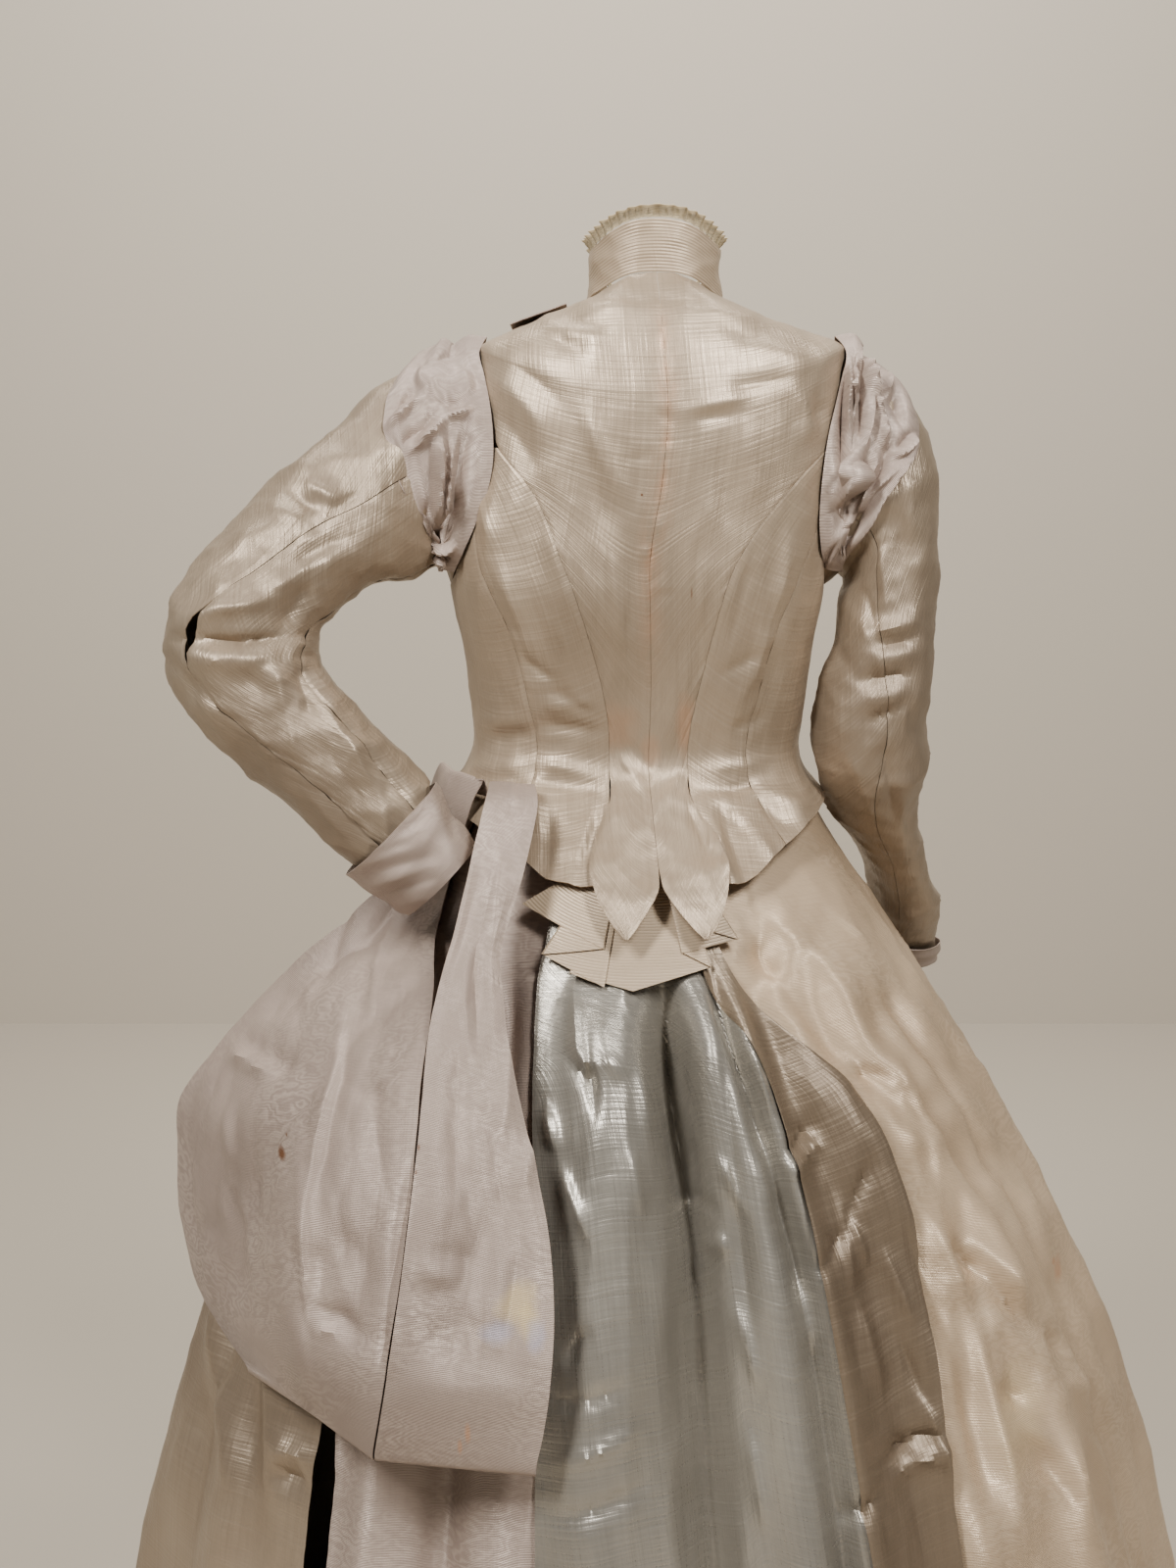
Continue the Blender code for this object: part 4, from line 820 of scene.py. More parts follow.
# %% Creases of the sleeves
SLEEVE_CREASES = table("u1 v1 u2 v2 width height bow", [
    (196, 640, 320, 641, 5, -7, -2),
    (205, 622, 300, 600, 9, 4.5, 0),
    (210, 655, 300, 660, 9, 3, 0),
    (233, 612, 285, 603, 7, 2.4, 0),
    (283, 603, 366, 560, 8, 3.4, 6),
    (300, 585, 372, 543, 7, -2.8, 5),
    (296, 500, 330, 521, 6, -4, 0),
    (280, 512, 318, 530, 7, 3, 0),
    (318, 492, 352, 512, 6, 2.6, 0),
    (250, 545, 300, 528, 8, 2, 0),
    (236, 580, 262, 560, 7, -2, 0),
    (340, 520, 372, 500, 5, -2.2, 0),
    (293, 664, 310, 712, 7, 3, 0),
    (309, 712, 323, 765, 6, 2.6, 0),
    (318, 668, 338, 720, 6, -2.6, 0),
    (270, 672, 300, 700, 8, -2.2, 0),
    (356, 725, 402, 798, 5, 2.4, 0),
    (402, 798, 410, 862, 5, 2.2, 0),
    (340, 735, 385, 800, 6, -2, 0),
    (330, 790, 372, 840, 6, 2, 0),
    (195, 665, 225, 700, 8, -2.6, 0),
    (225, 700, 262, 745, 8, 2, 0),
    (330, 580, 300, 640, 6, -2.4, 0),
    (338, 620, 352, 668, 6, 2.4, 0),
    (180, 600, 205, 616, 7, 2, 0),
    (176, 662, 210, 672, 6, -2.6, 0),
    (250, 735, 300, 790, 8, -1.8, 0),
    (891, 664, 948, 652, 5, -4.6, 0),
    (888, 650, 946, 636, 7, 3.4, 0),
    (894, 680, 946, 668, 7, 3, 0),
    (878, 700, 940, 690, 5, -3.4, 0),
    (905, 540, 912, 640, 7, 3.2, 0),
    (925, 520, 932, 620, 6, -2.6, 0),
    (890, 600, 900, 660, 6, -2.4, 0),
    (930, 470, 940, 560, 7, 2.6, 0),
    (880, 720, 930, 712, 6, 2.8, 0),
    (886, 742, 936, 722, 5, -3, 0),
    (870, 770, 900, 850, 6, 3, 0),
    (905, 760, 925, 850, 6, -2.8, 0),
    (925, 800, 940, 900, 6, 2.4, 0),
    (900, 860, 930, 920, 6, -2.4, 0),
    (850, 620, 872, 700, 7, -2.4, 0),
])


# %% Sleeve pieces
SLEEVE_SEED = 24


def sleeve_piece(name, source, side, first, last, columns, rows, seed):
    """One piece of a two-piece sleeve, between its two seams."""
    shares = np.array(SLEEVE_SHARES)
    steps = shares * source["step"][-1]
    turns = spread(first(steps), last(steps), 5)
    grid_steps = np.repeat(steps[:, None], 5, axis=1)

    def place(turn, step):
        return sleeve_surface(source, side, step, turn, np.zeros(step.shape))

    def form(u, v, lift):
        turn, step = on_table((turns, grid_steps), place, u, v)
        return sleeve_surface(source, side, step, turn, lift)

    def worn(base, across, width, down):
        slack = noise(base, 0.045, SLEEVE_SEED) * 0.0026
        soft = crumple(base, (0.038, 0.038, 0.030), SLEEVE_SEED) * 0.0030
        fine = crumple(base, (0.014, 0.014, 0.012), SLEEVE_SEED + 1) * 0.0010
        placed = creases(base, SLEEVE_CREASES, BODICE_BEHIND) * BODICE_GAIN
        return slack + soft + fine + placed

    def seams(base, across, width, down):
        return puckers(across, width, down, 0.0012, seed)

    return lay_cloth(name, form, columns, rows, [worn, seams])


sleeve_pieces = []
for end, side, source, seams, torn in (
        ("_left", 1, SLEEVE_LEFT, SLEEVE_SEAMS_LEFT, RIP_TURN),
        ("_right", -1, SLEEVE_RIGHT, SLEEVE_SEAMS_RIGHT, 0.0)):
    back_seam = seam_of(source, seams, "back_seam", 1, torn=torn)
    back_again = seam_of(source, seams, "back_seam", -1, turned=360.0, torn=torn)
    front_out = seam_of(source, seams, "front_seam", -1)
    front_in = seam_of(source, seams, "front_seam", 1)
    sleeve_pieces += [
        sleeve_piece("sleeve_under" + end, source, side, back_seam, front_out, 36, 150, 20 + side),
        sleeve_piece("sleeve_top" + end, source, side, front_in, back_again, 60, 150, 23 + side),
    ]


# %% Cuffs
CUFF_LEFT_CREASES = table("u1 v1 u2 v2 width height bow", [
    (372, 872, 436, 852, 3, 2.6, 2),
    (376, 884, 446, 862, 3, -2.6, 2),
    (380, 896, 452, 872, 3, 2.4, 2),
    (388, 906, 456, 884, 3, -2.2, 1),
    (360, 868, 452, 828, 4, 2.2, 2),
    (392, 852, 450, 812, 4, -2.4, -2),
    (440, 800, 462, 850, 4, 2.6, 0),
    (450, 800, 474, 862, 4, -2.4, 0),
])


CUFF = table("share stand flare", [
    (0.00, 0.0022, 0.0),
    (0.12, 0.0042, 0.0),
    (0.55, 0.0046, 0.6),
    (1.00, 0.0042, 1.0),
])
CUFF_WAVE = 0.0010
CUFF_WAVES = 5


def cuff(name, source, side, reach, flare, places, seed):
    """A turned-back cuff of folded faille round the end of a sleeve."""
    end = source["step"][-1]

    def form(u, v, lift):
        out = smooth(CUFF["share"], CUFF["stand"] + CUFF["flare"] * flare, v)
        wave = CUFF_WAVE * np.cos(np.radians(u * 360 * CUFF_WAVES)) * v
        return sleeve_surface(source, side, end - reach * v, u * 360, out + wave + lift)

    def folded(base, across, width, down):
        depth = down / down[-1:]
        slant = depth + 0.10 * np.sin(across / width * 2 * math.pi + 1.0)
        turned = 0.0010 * np.sin(slant * math.pi * 3.4) * np.sin(depth * math.pi)
        swell = noise(base, (0.020, 0.020, 0.020), seed) * 0.0010
        placed = creases(base, places, 0.14) * 0.8
        return turned + swell + placed + crumple(base, (0.018, 0.018, 0.018), seed) * 0.0010

    return lay_cloth(name, form, 96, 24, [folded],
                     edge_fine=0.0)


no_creases = {name: column[:0] for name, column in CUFF_LEFT_CREASES.items()}
cuff_pieces = [cuff("cuff_left", SLEEVE_LEFT, 1, 1.7, 0.0050, CUFF_LEFT_CREASES, 30),
               cuff("cuff_right", SLEEVE_RIGHT, -1, 0.9, 0.0015, no_creases, 31)]

# %% [markdown]
# ## Collar, lace and armhole drapes
# The standing collar is a ribbed silk, a little crushed. Gathered cream lace stands in its edge.
# Soft lavender faille is laid in folds round the back of each armhole.

# %% Collar
COLLAR_HEIGHT = 0.042
COLLAR_LEAN = 0.05
COLLAR_END = 179.7
LACE_WAVES = 38
LACE_END = 176.0
LACE_EDGES = table("rise out wave", [
    (0.0014, 0.0005, 0.0003),
    (0.0102, 0.0065, 0.0022),
])


def collar_form(angle, rise):
    """The standing collar, from the neck seam up."""
    base = bodice_form(angle, np.full(np.shape(angle), BODICE["height"][0]))
    lean = 1 - COLLAR_LEAN * rise / COLLAR_HEIGHT
    centre = np.array([BODICE["centre_x"][0], 0.0, 0.0])
    point = centre + (base - centre) * np.stack([lean, lean, np.ones_like(lean)], axis=-1)
    point[..., 2] += rise
    return point


def collar_cloth(u, v, lift):
    angle = COLLAR_END * (2 * u - 1)
    rise = COLLAR_HEIGHT - (COLLAR_HEIGHT - SEAM_GAP * 4) * v
    return moved_out(collar_form, angle, rise, WALL + lift)


def collar_worn(base, across, width, down):
    crushed = noise(base, (0.022, 0.03, 0.014), 40) * 0.0016
    return crushed + crumple(base, (0.018, 0.02, 0.012), 41) * 0.0014


collar = lay_cloth("collar", collar_cloth, 140, 18, [collar_worn],
                   edge_fine=0.0)


def lace_cloth(u, v, lift):
    """The lace stands in the collar's edge and falls outward in ruffles."""
    angle = LACE_END * (2 * u - 1)
    up = 1 - v
    foot, top = (dict(zip(LACE_EDGES, row)) for row in zip(*LACE_EDGES.values()))
    height = COLLAR_HEIGHT + foot["rise"] * v + top["rise"] * up
    wave = np.cos(u * LACE_WAVES * 2 * math.pi) + 0.4 * np.sin(u * LACE_WAVES * 3.7 + 1)
    spread_out = foot["out"] * v + top["out"] * up ** 1.5
    out = spread_out + (foot["wave"] * v + top["wave"] * up) * wave + lift
    point = collar_form(angle, height)
    away = point - np.array([BODICE["centre_x"][0], 0.0, 0.0])
    away[..., 2] = 0
    away /= np.linalg.norm(away, axis=-1, keepdims=True)
    return point + away * out[..., None]


lace = lay_cloth("collar_lace", lace_cloth, 460, 8, [],
                 thick=0.0006, edge_fine=0.0)

# %% Drapes round the armholes
DRAPE_LEFT = table("turn steps", [
    (-24.0, 1.00),
    (0.0, 1.35),
    (30.0, 1.80),
    (60.0, 2.10),
    (90.0, 2.10),
    (120.0, 1.80),
    (150.0, 1.40),
])
DRAPE_RIGHT = table("turn steps", [
    (-24.0, 1.00),
    (0.0, 1.60),
    (30.0, 2.30),
    (60.0, 2.40),
    (90.0, 2.10),
    (120.0, 1.70),
    (150.0, 1.20),
])
DRAPE_ON_BODICE = table("degrees stand", [
    (2.0, 0.0120),
    (5.5, 0.0032),
])
DRAPE_ON_SLEEVE = table("share stand", [
    (0.14, 0.0125),
    (0.30, 0.0120),
    (0.50, 0.0100),
    (0.68, 0.0085),
    (0.84, 0.0060),
    (1.00, 0.0019),
])
DRAPE_FOLD_DEPTH = 0.0016


def drape_on_bodice(turn, side, degrees, stand):
    """A point of the drape on the bodice, outside the armhole."""
    cosine = math.cos(math.radians(turn))
    sine = math.sin(math.radians(turn))
    middle = (ARMHOLE_TOP + ARMHOLE_BOTTOM) / 2
    reach = (ARMHOLE_TOP - ARMHOLE_BOTTOM) / 2
    swing = (ARMHOLE_BACK if sine > 0 else ARMHOLE_FRONT) + degrees
    height = middle + (reach + 0.001 * degrees * max(0, cosine)) * cosine
    angle = side * (ARMHOLE_ANGLE - swing * sine)
    return moved_out(bodice_form, np.array([angle]), np.array([height]), np.array([stand]))[0]


def drape_on_sleeve(source, side, step, turn, stand):
    """A point of the drape on the sleeve, standing off bodice and sleeve where they meet."""
    base = sleeve_surface(source, side, step, turn, 0.0)
    off_sleeve = sleeve_surface(source, side, max(step, 1.0), turn, 0.01)
    off_sleeve = off_sleeve - sleeve_surface(source, side, max(step, 1.0), turn, 0.0)
    off_bodice = drape_on_bodice(turn, side, 0.0, 0.01) - drape_on_bodice(turn, side, 0.0, 0.0)
    share = min(step, 1.0)
    away = off_sleeve * share + off_bodice * (1 - share)
    return base + away / np.linalg.norm(away) * stand


def drape_points(source, side, shape):
    """The rows of points of a drape, from bodice to sleeve, all round the armhole."""
    grid = []
    for turn in np.linspace(shape["turn"][0], shape["turn"][-1], 12):
        on_bodice = zip(DRAPE_ON_BODICE["degrees"][::-1], DRAPE_ON_BODICE["stand"][::-1])
        row = [drape_on_bodice(turn, side, degrees, stand) for degrees, stand in on_bodice]
        reach = read(shape, "steps", turn)
        fold = DRAPE_FOLD_DEPTH
        for share, stand in zip(DRAPE_ON_SLEEVE["share"], DRAPE_ON_SLEEVE["stand"]):
            lift = stand + fold * (share < 1)
            row.append(drape_on_sleeve(source, side, reach * share, turn, lift))
            fold = -fold
        grid.append(row)
    return np.array(grid)


def free_form(points, way):
    """A form through a grid of points, which stands off along its own normal."""
    rows, columns = points.shape[:2]

    def surface(u, v):
        lines = spline(points, v * (rows - 1))
        return pick(lines, u * (columns - 1))

    def pick(lines, at):
        last = columns - 1
        i = np.clip(np.floor(at).astype(int), 0, last - 1)
        t = (at - i)[:, None]
        here = np.arange(len(at))
        p0 = lines[here, np.clip(i - 1, 0, last)]
        p1 = lines[here, i]
        p2 = lines[here, i + 1]
        p3 = lines[here, np.clip(i + 2, 0, last)]
        return 0.5 * (2 * p1 + (p2 - p0) * t + (2 * p0 - 5 * p1 + 4 * p2 - p3) * t * t
                      + (3 * p1 - p0 - 3 * p2 + p3) * t ** 3)

    def form(u, v, lift):
        step = 1e-3
        along = surface(np.clip(u + step, 0, 1), v) - surface(np.clip(u - step, 0, 1), v)
        down = surface(u, np.clip(v + step, 0, 1)) - surface(u, np.clip(v - step, 0, 1))
        normal = np.cross(along, down) * way
        normal /= np.maximum(np.linalg.norm(normal, axis=-1, keepdims=True), 1e-12)
        return surface(u, v) + normal * np.asarray(lift)[:, None]

    return form


def faille_worn(size, depth, seed):
    """The soft, uneven crumple of faille."""
    def lift(base, across, width, down):
        return crumple(base, size, seed) * depth + noise(base, 0.05, seed + 1) * depth
    return lift


# %% [markdown]
# The left drape is smooth above and twists into narrow folds that meet under the arm. The right
# one is gathered at the shoulder point, and its folds spread from there and run under the arm.

# %% Folds of the drapes
DRAPE_LEFT_FOLDS = table("u1 v1 u2 v2 width height bow", [
    (392, 438, 430, 402, 3, -3.0, 2),
    (390, 428, 426, 396, 5, 2.0, 2),
    (418, 460, 452, 424, 3, -4.0, -1),
    (450, 426, 480, 417, 3, -3.5, -1),
    (426, 398, 480, 412, 5, 2.0, -3),
    (410, 452, 446, 416, 5, 2.5, -1),
    (447, 448, 442, 540, 5, -9.0, 0),
    (436, 452, 434, 552, 4, 4.0, 3),
    (456, 442, 446, 536, 3, 3.0, 0),
    (463, 446, 450, 540, 3, -3.5, 0),
    (470, 440, 458, 540, 4, 3.0, -2),
    (478, 436, 468, 500, 4, 2.0, -2),
    (458, 470, 446, 545, 3, -4.0, 0),
    (468, 505, 436, 574, 4, 4.0, -2),
    (393, 468, 430, 574, 3, -5.0, 2),
    (400, 474, 432, 566, 3, 3.0, 2),
    (404, 488, 433, 572, 3, -4.0, 2),
    (398, 444, 424, 556, 12, 5.0, 4),
    (440, 566, 462, 560, 3, -4.0, 0),
    (434, 580, 456, 572, 4, 3.0, 0),
    (436, 366, 468, 352, 4, 2.0, 0),
    (468, 376, 478, 404, 5, -2.0, 0),
    (430, 372, 424, 392, 5, -2.0, 0),
])
DRAPE_RIGHT_FOLDS = table("u1 v1 u2 v2 width height bow", [
    (871, 366, 860, 500, 3, 4.0, -3),
    (875, 368, 870, 442, 2.5, -5.0, -1),
    (881, 366, 878, 452, 4, 4.0, 1),
    (884, 366, 896, 400, 3, -7.0, 1),
    (895, 396, 886, 458, 3, -4.0, 1),
    (874, 462, 858, 516, 5, -9.0, 1),
    (898, 400, 888, 462, 3, 4.0, 1),
    (888, 462, 862, 530, 5, 4.0, 2),
    (897, 388, 908, 424, 2.5, -5.0, -1),
    (908, 418, 904, 458, 2.5, -4.0, 0),
    (904, 376, 914, 440, 5, 3.0, -2),
    (912, 378, 917, 404, 2.5, -4.0, 0),
    (920, 392, 930, 440, 6, 3.0, -2),
    (902, 458, 880, 520, 3, -2.5, 1),
    (912, 446, 872, 540, 5, 3.0, 2),
    (888, 498, 880, 524, 2.5, -3.5, 0),
    (917, 467, 940, 445, 2.5, -5.0, 0),
    (918, 460, 938, 440, 4, 3.0, 0),
    (932, 462, 850, 562, 3, -3.0, -3),
    (930, 470, 858, 572, 5, 4.0, -3),
    (940, 456, 868, 570, 3, -6.0, -4),
    (866, 540, 846, 592, 3, -3.0, 0),
    (858, 552, 842, 602, 4, 3.0, 0),
])


def folded_as(places, depth, seed):
    """The folds of a drape and the soft crumple of its faille."""
    def lift(base, across, width, down):
        soft = crumple(base, (0.024, 0.024, 0.040), seed) * 0.0016
        return soft + noise(base, 0.04, seed + 1) * 0.0012 + creases(base, places, depth) * DRAPE_GAIN
    return lift


# %% Drapes and flap
drape_left = lay_cloth("shoulder_drape_left", free_form(drape_points(SLEEVE_LEFT, 1, DRAPE_LEFT), -1),
                       70, 140, [folded_as(DRAPE_LEFT_FOLDS, 0.095, 51)])
drape_right = lay_cloth("shoulder_drape_right",
                        free_form(drape_points(SLEEVE_RIGHT, -1, DRAPE_RIGHT), 1),
                        70, 140, [folded_as(DRAPE_RIGHT_FOLDS, 0.08, 53)])
FLAP_HEIGHTS = (0.3665, 0.3500)
FLAP_STANDS = (0.0014, 0.0052, 0.0060)
FLAP_ANGLES = (101.0, 96.0, 84.0)
FLAP_LAID = 1.1           # the thin silk stands a little higher than its solid


def flap_points():
    """The small flap along the left shoulder seam."""
    heights, out = np.meshgrid(np.linspace(*FLAP_HEIGHTS, 6), FLAP_STANDS, indexing="ij")
    return moved_out(bodice_form, np.broadcast_to(FLAP_ANGLES, out.shape), heights, out * FLAP_LAID)


flap = lay_cloth("shoulder_fold", free_form(flap_points(), 1), 16, 30,
                 [faille_worn(0.02, 0.0006, 54)])

# %% [markdown]
# ## The skirt
# Six breadths hang from the band over the bustle. The deep folds are the same in the solids and
# here, but the silk adds the crisp crumple of taffeta, stretched out along each fold.

# %% Skirt measurements
SLIT_TOP = -0.44
SLIT_WIDTH = 0.016
WAIST_TO_FLOOR = 1.03
LAYER = 0.0035
UNDERLAP = 0.026
LAP_START = -0.09
LAP_GROWS = 0.14
LAYER_SETTLES = 0.06
SLIT_GROWS = 0.08
FRONT_SEAM = 104.0
SKIRT_EDGES = table("height slit centre_left centre_right drape_outer", [
    (-0.012, 0.118, 0.042, -0.026, -0.040),
    (-0.060, 0.140, 0.058, -0.033, -0.047),
    (-0.120, 0.165, 0.070, -0.042, -0.060),
    (-0.150, 0.178, 0.077, -0.052, -0.075),
    (-0.190, 0.192, 0.079, -0.078, -0.118),
    (-0.232, 0.203, 0.080, -0.100, -0.163),
    (-0.337, 0.220, 0.078, -0.127, -0.206),
    (-0.550, 0.243, 0.077, -0.165, -0.238),
    (-0.750, 0.262, 0.078, -0.200, -0.270),
    (-1.030, 0.285, 0.080, -0.240, -0.315),
])
FOLDS = table("start middle end half_width depth", [
    (7.2, 4.5, 1.5, 5.0, 0.026),
    (-1.5, -3.2, -4.0, 1.7, -0.040),
    (-6.5, -10.5, -13.0, 3.6, 0.026),
    (-9.5, -14.5, -16.6, 1.3, -0.016),
    (-12.0, -17.0, -18.5, 2.3, 0.016),
    (-16.0, -24.0, -26.5, 3.0, -0.009),
    (-24.0, -33.0, -30.0, 3.5, 0.008),
    (-34.0, -50.0, -50.0, 3.5, 0.012),
    (-52.0, -64.0, -66.0, 3.0, -0.010),
    (-72.0, -78.0, -80.0, 4.0, 0.008),
    (26.0, 22.0, 17.0, 2.8, -0.022),
    (38.0, 31.0, 25.0, 3.0, 0.010),
    (46.0, 40.0, 31.0, 3.0, 0.006),
    (66.0, 56.0, 46.0, 4.0, 0.010),
    (74.0, 66.0, 58.0, 3.0, -0.010),
    (84.0, 78.0, 72.0, 4.0, 0.010),
    (112.0, 116.0, 120.0, 4.0, -0.010),
    (-112.0, -116.0, -120.0, 4.0, -0.010),
    (134.0, 138.0, 142.0, 5.0, 0.008),
    (-134.0, -138.0, -142.0, 5.0, 0.008),
])
FOLD_START = -0.125
FOLD_MIDDLE = -0.34
FOLD_FULL = -0.21
SKIRT_HEIGHTS = (-0.0125, -0.035, -0.062, -0.090, -0.125, -0.150, -0.185, -0.225, -0.275,
                 -0.340, -0.430, -0.520, -0.650, -0.790, -1.030)


def fold_rise(angle, height):
    """Height of the folds at a place on the skirt."""
    high = np.clip((height - FOLD_MIDDLE) / (FOLD_START - FOLD_MIDDLE), 0, 1)
    low = np.clip((FOLD_MIDDLE - height) / (FOLD_MIDDLE + WAIST_TO_FLOOR), 0, 1)
    grown = np.clip((height - FOLD_START) / (FOLD_FULL - FOLD_START), 0, 1)
    grown = grown * grown * (3 - 2 * grown)
    rise = np.zeros(np.shape(angle))
    for start, middle, end, width, depth in zip(*FOLDS.values()):
        place = middle + (start - middle) * high + (end - middle) * low
        rise += depth * np.exp(-((angle - place) / width) ** 2)
    return rise * grown


def edge_of(column, gap, lap=0.0):
    """A piece's edge on the skirt, with the part that lies under its neighbour."""
    def edge(heights):
        place = read(SKIRT_EDGES, column, heights) - read(SKIRT, "centre_x", heights)
        angle = angle_at(place, read(SKIRT, "half_width", heights))
        grown = np.clip((LAP_START - heights) / LAP_GROWS, 0, 1)
        return inset(skirt_form, angle, heights, gap + lap * grown)
    return edge


def slit_edge(toward):
    """One edge of the slit, which opens under the loop."""
    def edge(heights):
        open_width = SLIT_WIDTH * np.clip((SLIT_TOP - heights) / SLIT_GROWS, 0, 1)
        middle = edge_of("slit", 0.0)(heights)
        return inset(skirt_form, middle, heights, toward * (open_width + SEAM_GAP) / 2)
    return edge


def front_seam(side, toward):
    """The seam between a side breadth and the front breadth."""
    def edge(heights):
        angle = np.full(np.shape(heights), FRONT_SEAM * side)
        return inset(skirt_form, angle, heights, toward)
    return edge


# %% Creases of the skirt
SKIRT_CREASES = table("u1 v1 u2 v2 width height bow", [
    (683, 1010, 690, 1300, 9, -8, 0),
    (690, 1280, 700, 1590, 11, -9, 0),
    (735, 1010, 770, 1400, 8, -5, 0),
    (640, 1020, 640, 1560, 12, 4, 0),
    (784, 1000, 811, 1040, 12, -9, 0),
    (800, 985, 840, 1020, 14, 6, 0),
    (812, 1040, 884, 1130, 14, -6, 0),
    (830, 1000, 905, 1090, 18, 6, 0),
    (883, 1132, 935, 1141, 7, -6, 0),
    (933, 1141, 976, 1199, 9, -6, 0),
    (975, 1199, 1050, 1273, 11, -5, 0),
    (905, 1115, 985, 1180, 12, 5, 0),
    (900, 1160, 960, 1220, 10, 5, 0),
    (985, 1170, 1070, 1260, 14, 4, 0),
    (979, 1302, 1026, 1344, 6, -7, 0),
    (1024, 1344, 1099, 1414, 7, -7, 0),
    (1099, 1414, 1120, 1445, 5, -5, 0),
    (1000, 1300, 1080, 1370, 9, 5, 0),
    (1015, 1365, 1075, 1430, 9, 4, 0),
    (954, 1265, 1000, 1365, 9, 7, 0),
    (999, 1365, 1050, 1590, 10, 6, 0),
    (930, 1260, 985, 1400, 12, -6, 0),
    (985, 1400, 1020, 1560, 12, -6, 0),
    (1030, 1440, 1060, 1470, 5, -4, 0),
    (1040, 1470, 1100, 1520, 6, 4, 0),
    (1060, 1500, 1130, 1590, 8, -4, 0),
    (1100, 1460, 1160, 1500, 6, 4, 0),
    (1120, 1380, 1150, 1440, 7, -4, 0),
    (1080, 1290, 1130, 1360, 9, 4, 0),
    (1140, 1520, 1180, 1560, 6, -3, 0),
    (1110, 1500, 1125, 1590, 7, 4, 0),
    (870, 1010, 930, 1080, 12, 4, 0),
    (900, 1060, 960, 1150, 12, -4, 0),
    (1030, 1200, 1080, 1280, 10, -4, 0),
    (960, 1090, 1010, 1160, 12, 3, 0),
    (868, 1262, 905, 1200, 5, -4, 0),
    (870, 1262, 890, 1310, 6, 4, 0),
    (800, 1190, 845, 1170, 5, -4, 0),
    (805, 1205, 850, 1190, 6, 4, 0),
    (830, 1300, 880, 1260, 6, -4, 0),
    (900, 1480, 970, 1462, 5, -6, 0),
    (905, 1498, 972, 1478, 7, 5, 0),
    (850, 1530, 895, 1500, 6, -5, 0),
    (880, 1340, 900, 1420, 7, 4, 0),
    (862, 1240, 872, 1330, 7, 4, 0),
    (905, 1290, 935, 1360, 6, 4, 0),
    (920, 1370, 955, 1450, 6, -4, 0),
    (940, 1420, 975, 1520, 6, 4, 0),
    (590, 1105, 612, 1095, 5, 5, 0),
    (612, 1095, 640, 1112, 5, 4, 0),
    (600, 1080, 607, 1150, 5, -4, 0),
    (585, 1040, 590, 1110, 5, 5, 0),
    (575, 1100, 610, 1120, 6, -4, 0),
    (556, 1150, 566, 1190, 6, 5, 0),
    (570, 1200, 600, 1260, 6, 5, 0),
    (575, 1380, 600, 1340, 5, -4, 0),
    (560, 1420, 640, 1390, 5, -3, 0),
    (565, 1470, 650, 1430, 5, 3, 0),
    (560, 1520, 660, 1480, 6, -3, 0),
    (645, 1180, 655, 1240, 6, 4, 0),
    (655, 1100, 665, 1180, 6, 3, 0),
    (700, 1250, 735, 1240, 5, -4, 0),
    (715, 1290, 745, 1270, 5, 4, 0),
    (705, 1150, 712, 1200, 4, 4, 0),
    (765, 1080, 790, 1150, 5, 4, 0),
    (775, 1180, 792, 1240, 5, 4, 0),
    (735, 1190, 762, 1240, 5, 4, 0),
    (752, 1330, 770, 1400, 5, 4, 0),
    (690, 1440, 700, 1520, 7, 4, 0),
    (760, 1440, 775, 1530, 6, 4, 0),
    (815, 1310, 828, 1380, 6, 4, 0),
    (180, 1420, 215, 1560, 12, 5, 0),
    (228, 1400, 240, 1560, 14, -6, 0),
    (255, 1380, 270, 1560, 12, 5, 0),
    (268, 1535, 312, 1528, 6, -5, 0),
    (272, 1515, 315, 1500, 7, 5, 0),
    (205, 1360, 195, 1480, 7, 4, 0),
    (175, 1480, 168, 1590, 8, -4, 0),
])


# %% Skirt breadths
SKIRT_SEED = 61


def breadth(name, first, last, columns, rows, seed, layer=0.0, crumpled=0.0060, long=1.6):
    """A skirt piece between two edges, with the folds that cross it."""
    top = SKIRT_HEIGHTS[0]
    foot = SKIRT_HEIGHTS[-1]
    stops = np.linspace(top, foot, 160)
    starts = first(stops)
    ends = last(stops)

    def form(u, v, lift):
        height = top + (foot - top) * v
        start = np.interp(-height, -stops, starts)
        end = np.interp(-height, -stops, ends)
        angle = start * (1 - u) + end * u
        settled = np.clip(-height / LAYER_SETTLES, 0, 1)
        out = fold_rise(angle, height) + layer * settled
        return moved_out(skirt_form, angle, height, out + lift)

    def worn(base, across, width, down):
        near_hem = np.clip((down[-1:] - down) / 0.02, 0, 1)
        grown = np.clip((down - 0.05) / 0.10, 0, 1) * near_hem
        wide = crumple(base, (0.070, 0.070, 0.130 * long), SKIRT_SEED) * crumpled
        small = crumple(base, (0.028, 0.028, 0.050 * long), SKIRT_SEED + 1) * crumpled * 0.40
        fine = crumple(base, (0.012, 0.012, 0.020 * long), SKIRT_SEED + 2) * crumpled * 0.12
        calm = np.clip(np.minimum(across, width - across) / 0.035, 0.25, 1)
        placed = creases(base, SKIRT_CREASES, SKIRT_BEHIND) * SKIRT_GAIN
        return ((wide + small + fine) * calm + placed) * grown

    def edges(base, across, width, down):
        return puckers(across, width, down, 0.0008, seed)

    return lay_cloth(name, form, columns, rows, [worn, edges])


def right_seam_from_front(heights):
    return 360 + front_seam(-1, -SEAM_GAP / 2)(heights)


